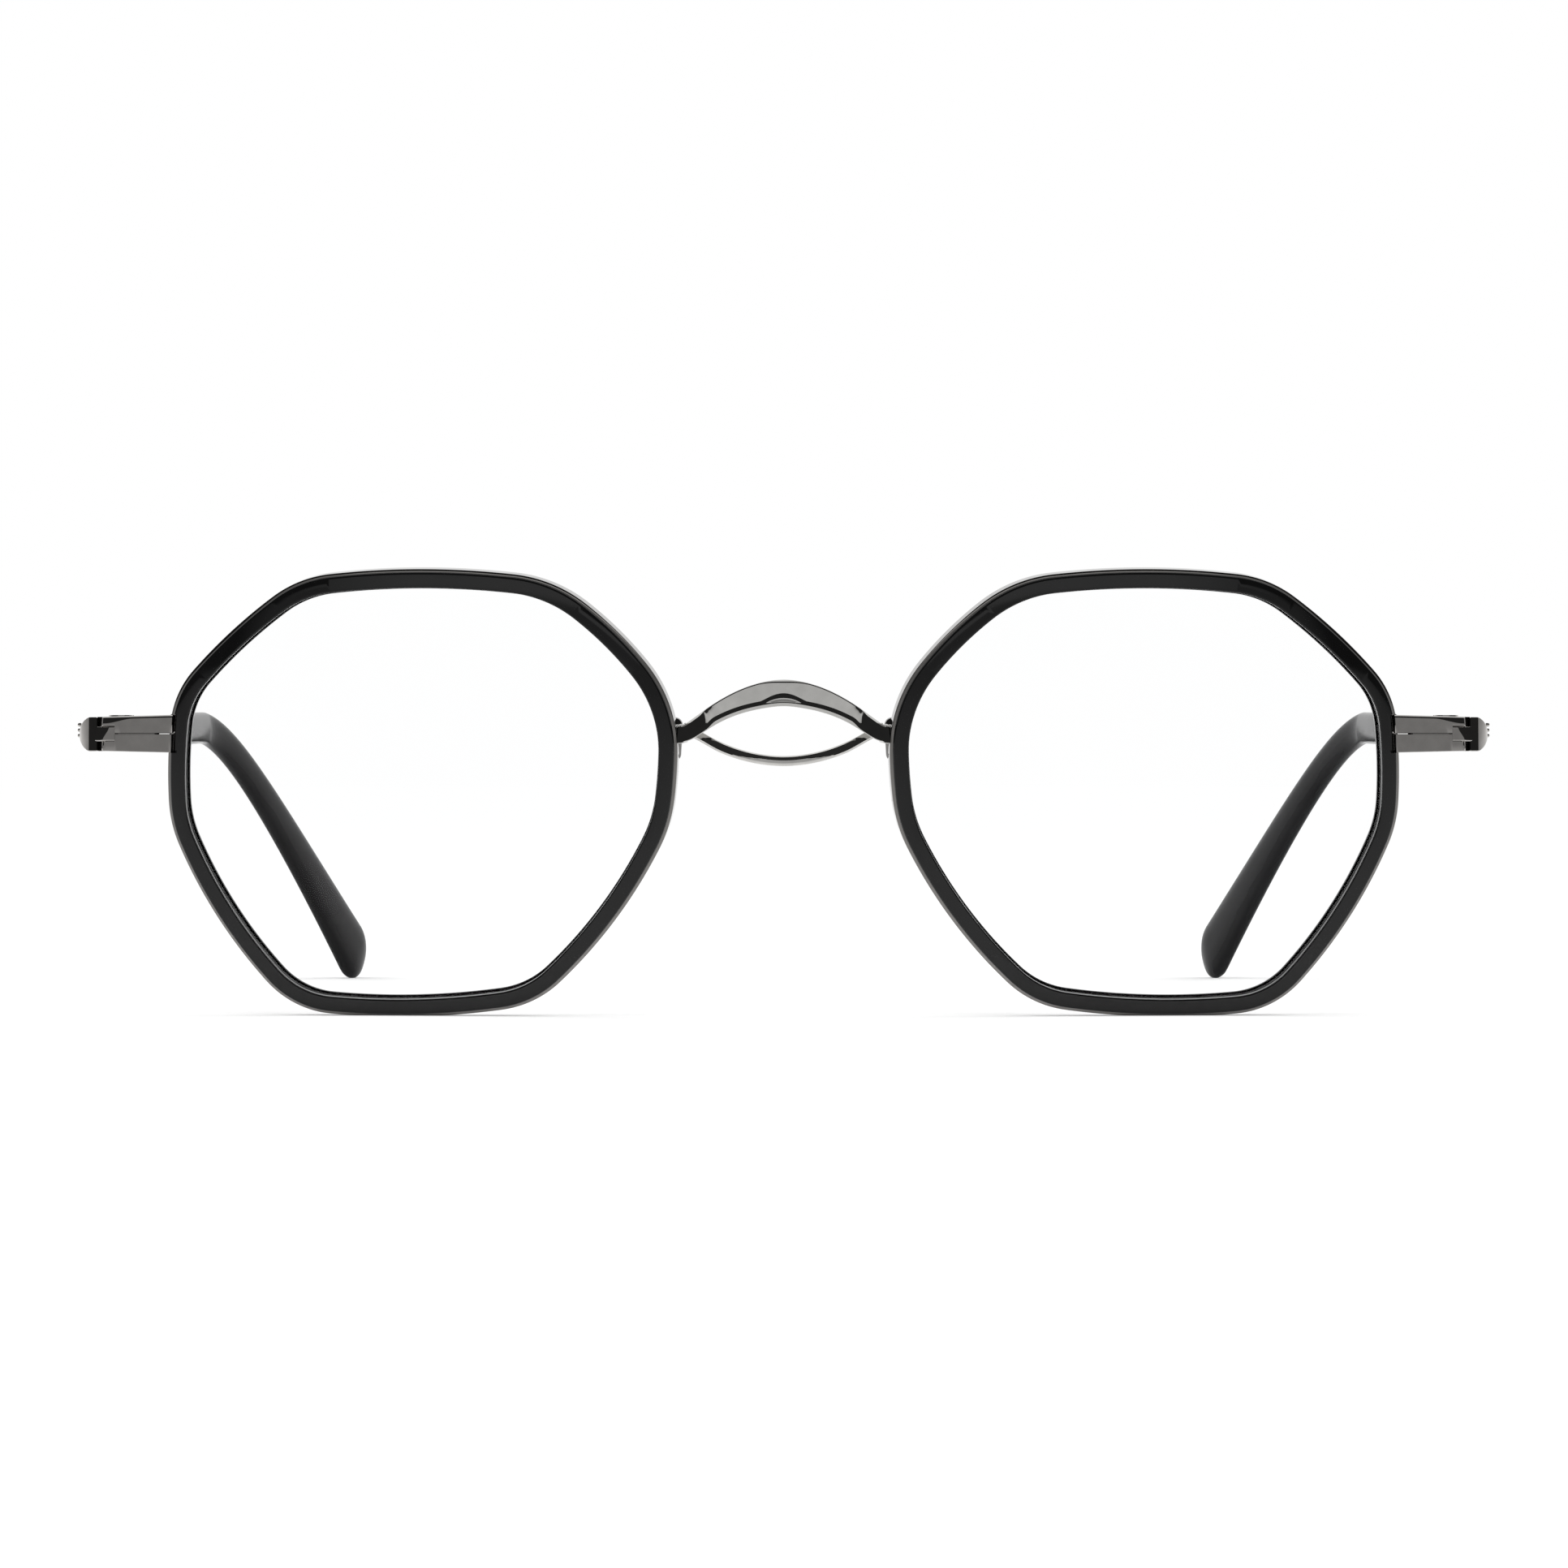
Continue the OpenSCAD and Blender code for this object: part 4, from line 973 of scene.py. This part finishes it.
def make_floor(half=40, glow_by=0.13):
    """A white floor that looks a little brighter than it is lit, and keeps the object's shadow."""
    me = bpy.data.meshes.new("floor")
    corners = [(-half, -half, 0), (half, -half, 0), (half, half, 0), (-half, half, 0)]
    me.from_pydata(corners, [], [(0, 1, 2, 3)])
    mat, tree, bsdf = material("floor_white", (0.97, 0.97, 0.97), rough=0.6)
    bsdf.inputs["Specular IOR Level"].default_value = 0.0
    em = tree.nodes.new("ShaderNodeEmission")
    em.inputs["Color"].default_value = (1, 1, 1, 1)
    em.inputs["Strength"].default_value = glow_by
    both = tree.nodes.new("ShaderNodeAddShader")
    tree.links.new(bsdf.outputs["BSDF"], both.inputs[0])
    tree.links.new(em.outputs["Emission"], both.inputs[1])
    seen_as(tree, bsdf.outputs["BSDF"], both.outputs["Shader"], "Material Output")
    me.materials.append(mat)
    return added("floor", me)


floor = make_floor()


def make_world(light=0.9):
    """A white room that lights the object a little less than it shows."""
    world = bpy.data.worlds.new("studio")
    world.use_nodes = True
    tree = world.node_tree
    lit = tree.nodes["Background"]
    shown = tree.nodes.new("ShaderNodeBackground")
    for node, strength in ((lit, light), (shown, 1.0)):
        node.inputs["Color"].default_value = (1, 1, 1, 1)
        node.inputs["Strength"].default_value = strength
    seen_as(tree, lit.outputs["Background"], shown.outputs["Background"], "World Output")
    return world


bpy.context.scene.world = make_world()


def glow(name, shape, strength):
    """A studio card that is seen only in reflections. It is not in the picture and throws no light."""
    me = bpy.data.meshes.new(name)
    me.from_pydata(shape[0], [], shape[1])
    ob = added(name, me)
    m, tree, _ = material(name, (0, 0, 0))
    em = tree.nodes.new("ShaderNodeEmission")
    em.inputs["Color"].default_value = (1, 1, 1, 1)
    if callable(strength):
        strength(tree, em)
    else:
        em.inputs["Strength"].default_value = strength
    tree.links.new(em.outputs["Emission"], tree.nodes["Material Output"].inputs["Surface"])
    me.materials.append(m)
    ob.visible_camera = ob.visible_diffuse = ob.visible_transmission = ob.visible_shadow = False


CARD_R = 0.9


def wall(a0, a1, z0, z1, n=24):
    """Part of a round wall about the object, between two directions in degrees from the front."""
    verts, faces = [], []
    for i in range(n + 1):
        a = rad(a0 + (a1 - a0) * i / n)
        x, y = CARD_R * math.sin(a), -CARD_R * math.cos(a)
        verts += [(x, y, z0), (x, y, z1)]
        if i:
            faces.append((2 * i - 2, 2 * i, 2 * i + 1, 2 * i - 1))
    return verts, faces


def sheet(y1, z):
    """A level card at the height z from the front wall back to y1."""
    return [(-CARD_R, -CARD_R, z), (CARD_R, -CARD_R, z), (CARD_R, y1, z), (-CARD_R, y1, z)], [(0, 1, 2, 3)]


def fade(near, near_v, far, far_v, between=()):
    """Brightness that changes with the distance y, with stops between as shares of the way."""
    def build(tree, em):
        where = tree.nodes.new("ShaderNodeTexCoord")
        split = tree.nodes.new("ShaderNodeSeparateXYZ")
        tree.links.new(where.outputs["Object"], split.inputs["Vector"])
        span = tree.nodes.new("ShaderNodeMapRange")
        span.inputs["From Min"].default_value, span.inputs["From Max"].default_value = near, far
        tree.links.new(split.outputs["Y"], span.inputs["Value"])
        curve = tree.nodes.new("ShaderNodeValToRGB")
        stops = curve.color_ramp.elements
        stops[0].color = (near_v, near_v, near_v, 1)
        stops[1].color = (far_v, far_v, far_v, 1)
        for at, v in between:
            stops.new(at).color = (v, v, v, 1)
        tree.links.new(span.outputs["Result"], curve.inputs["Fac"])
        tree.links.new(curve.outputs["Color"], em.inputs["Color"])
    return build


# Brightness of the wall: grey before the object with a bright strip above the grey, dark beside and over
# them, and rising to full brightness from beside the object to behind it
DARK, HORIZON, STRIP = 0.03, 0.34, 0.9
SIDE_DARK, SIDE_LIGHT = 0.1, 1.1
# Directions at which its parts end, in degrees from the front, and their heights
FRONT_HALF, SIDE_FROM, SIDE_TO = 30, 84, 165
CARD_LOW, HORIZON_TOP, STRIP_TOP, CARD_TOP = 0.001, 0.1, 0.17, 0.75
# Distances y between which the wall changes: the front parts fade to dark at their ends.
FRONT_END, HORIZON_FULL, STRIP_FULL = -0.779, -0.802, -0.87
SIDE_NEAR, SIDE_FAR = -0.094, 0.55
# The floor is mirrored bright near the object and grey far away.
FLOOR_NEAR, FLOOR_Z = -0.075, 0.0005
FLOOR_STOPS = ((0.07, 0.8), (0.2, 0.55), (0.5, 0.38))

glow("card_front", wall(-FRONT_HALF, FRONT_HALF, CARD_LOW, HORIZON_TOP),
     fade(FRONT_END, DARK, HORIZON_FULL, HORIZON))
glow("card_front_high", wall(-FRONT_HALF, FRONT_HALF, HORIZON_TOP, STRIP_TOP),
     fade(FRONT_END, DARK, STRIP_FULL, STRIP))
glow("card_front_top", wall(-FRONT_HALF, FRONT_HALF, STRIP_TOP, CARD_TOP), DARK)
glow("card_left", wall(-SIDE_FROM, -FRONT_HALF, CARD_LOW, CARD_TOP), DARK)
glow("card_right", wall(FRONT_HALF, SIDE_FROM, CARD_LOW, CARD_TOP), DARK)
glow("card_ceiling", sheet(0.3, CARD_TOP), DARK)
glow("card_floor", sheet(FLOOR_NEAR, FLOOR_Z), fade(FLOOR_NEAR, 1.0, -CARD_R, HORIZON, FLOOR_STOPS))
for name, a0, a1 in (("card_side_left", -SIDE_TO, -SIDE_FROM), ("card_side_right", SIDE_FROM, SIDE_TO)):
    glow(name, wall(a0, a1, CARD_LOW, CARD_TOP), fade(SIDE_NEAR, SIDE_DARK, SIDE_FAR, SIDE_LIGHT))


def softbox(name, centre, size, power):
    """A square lamp that faces the object and isn't mirrored by it."""
    data = bpy.data.lights.new(name, "AREA")
    data.shape, data.size, data.size_y, data.energy = "RECTANGLE", size, size, power
    ob = added(name, data)
    ob.location = centre
    ob.rotation_euler = (-Vector(centre)).to_track_quat("-Z", "Y").to_euler()
    ob.visible_glossy = False


softbox("key", (-0.5, -0.5, 0.9), 0.5, 1.2)
softbox("fill", (0.7, 0.2, 0.8), 0.6, 0.9)

# The camera looks straight at the front. Its place is in millimetres from the middle between the lenses.
CAMERA_X, CAMERA_AWAY, CAMERA_UP = 0.04, 660, 1.27
camera = bpy.data.cameras.new("camera")
camera.lens, camera.sensor_width = 153.7, 36.0
camera.clip_start, camera.clip_end = 0.01, 50
cam = added("camera", camera)
cam.location = (CAMERA_X * MM, (SHIFT.y - CAMERA_AWAY) * MM, (SHIFT.z + CAMERA_UP) * MM)
cam.rotation_euler = (math.pi / 2, 0, 0)
bpy.context.scene.camera = cam
bpy.context.scene.view_settings.view_transform = "Standard"
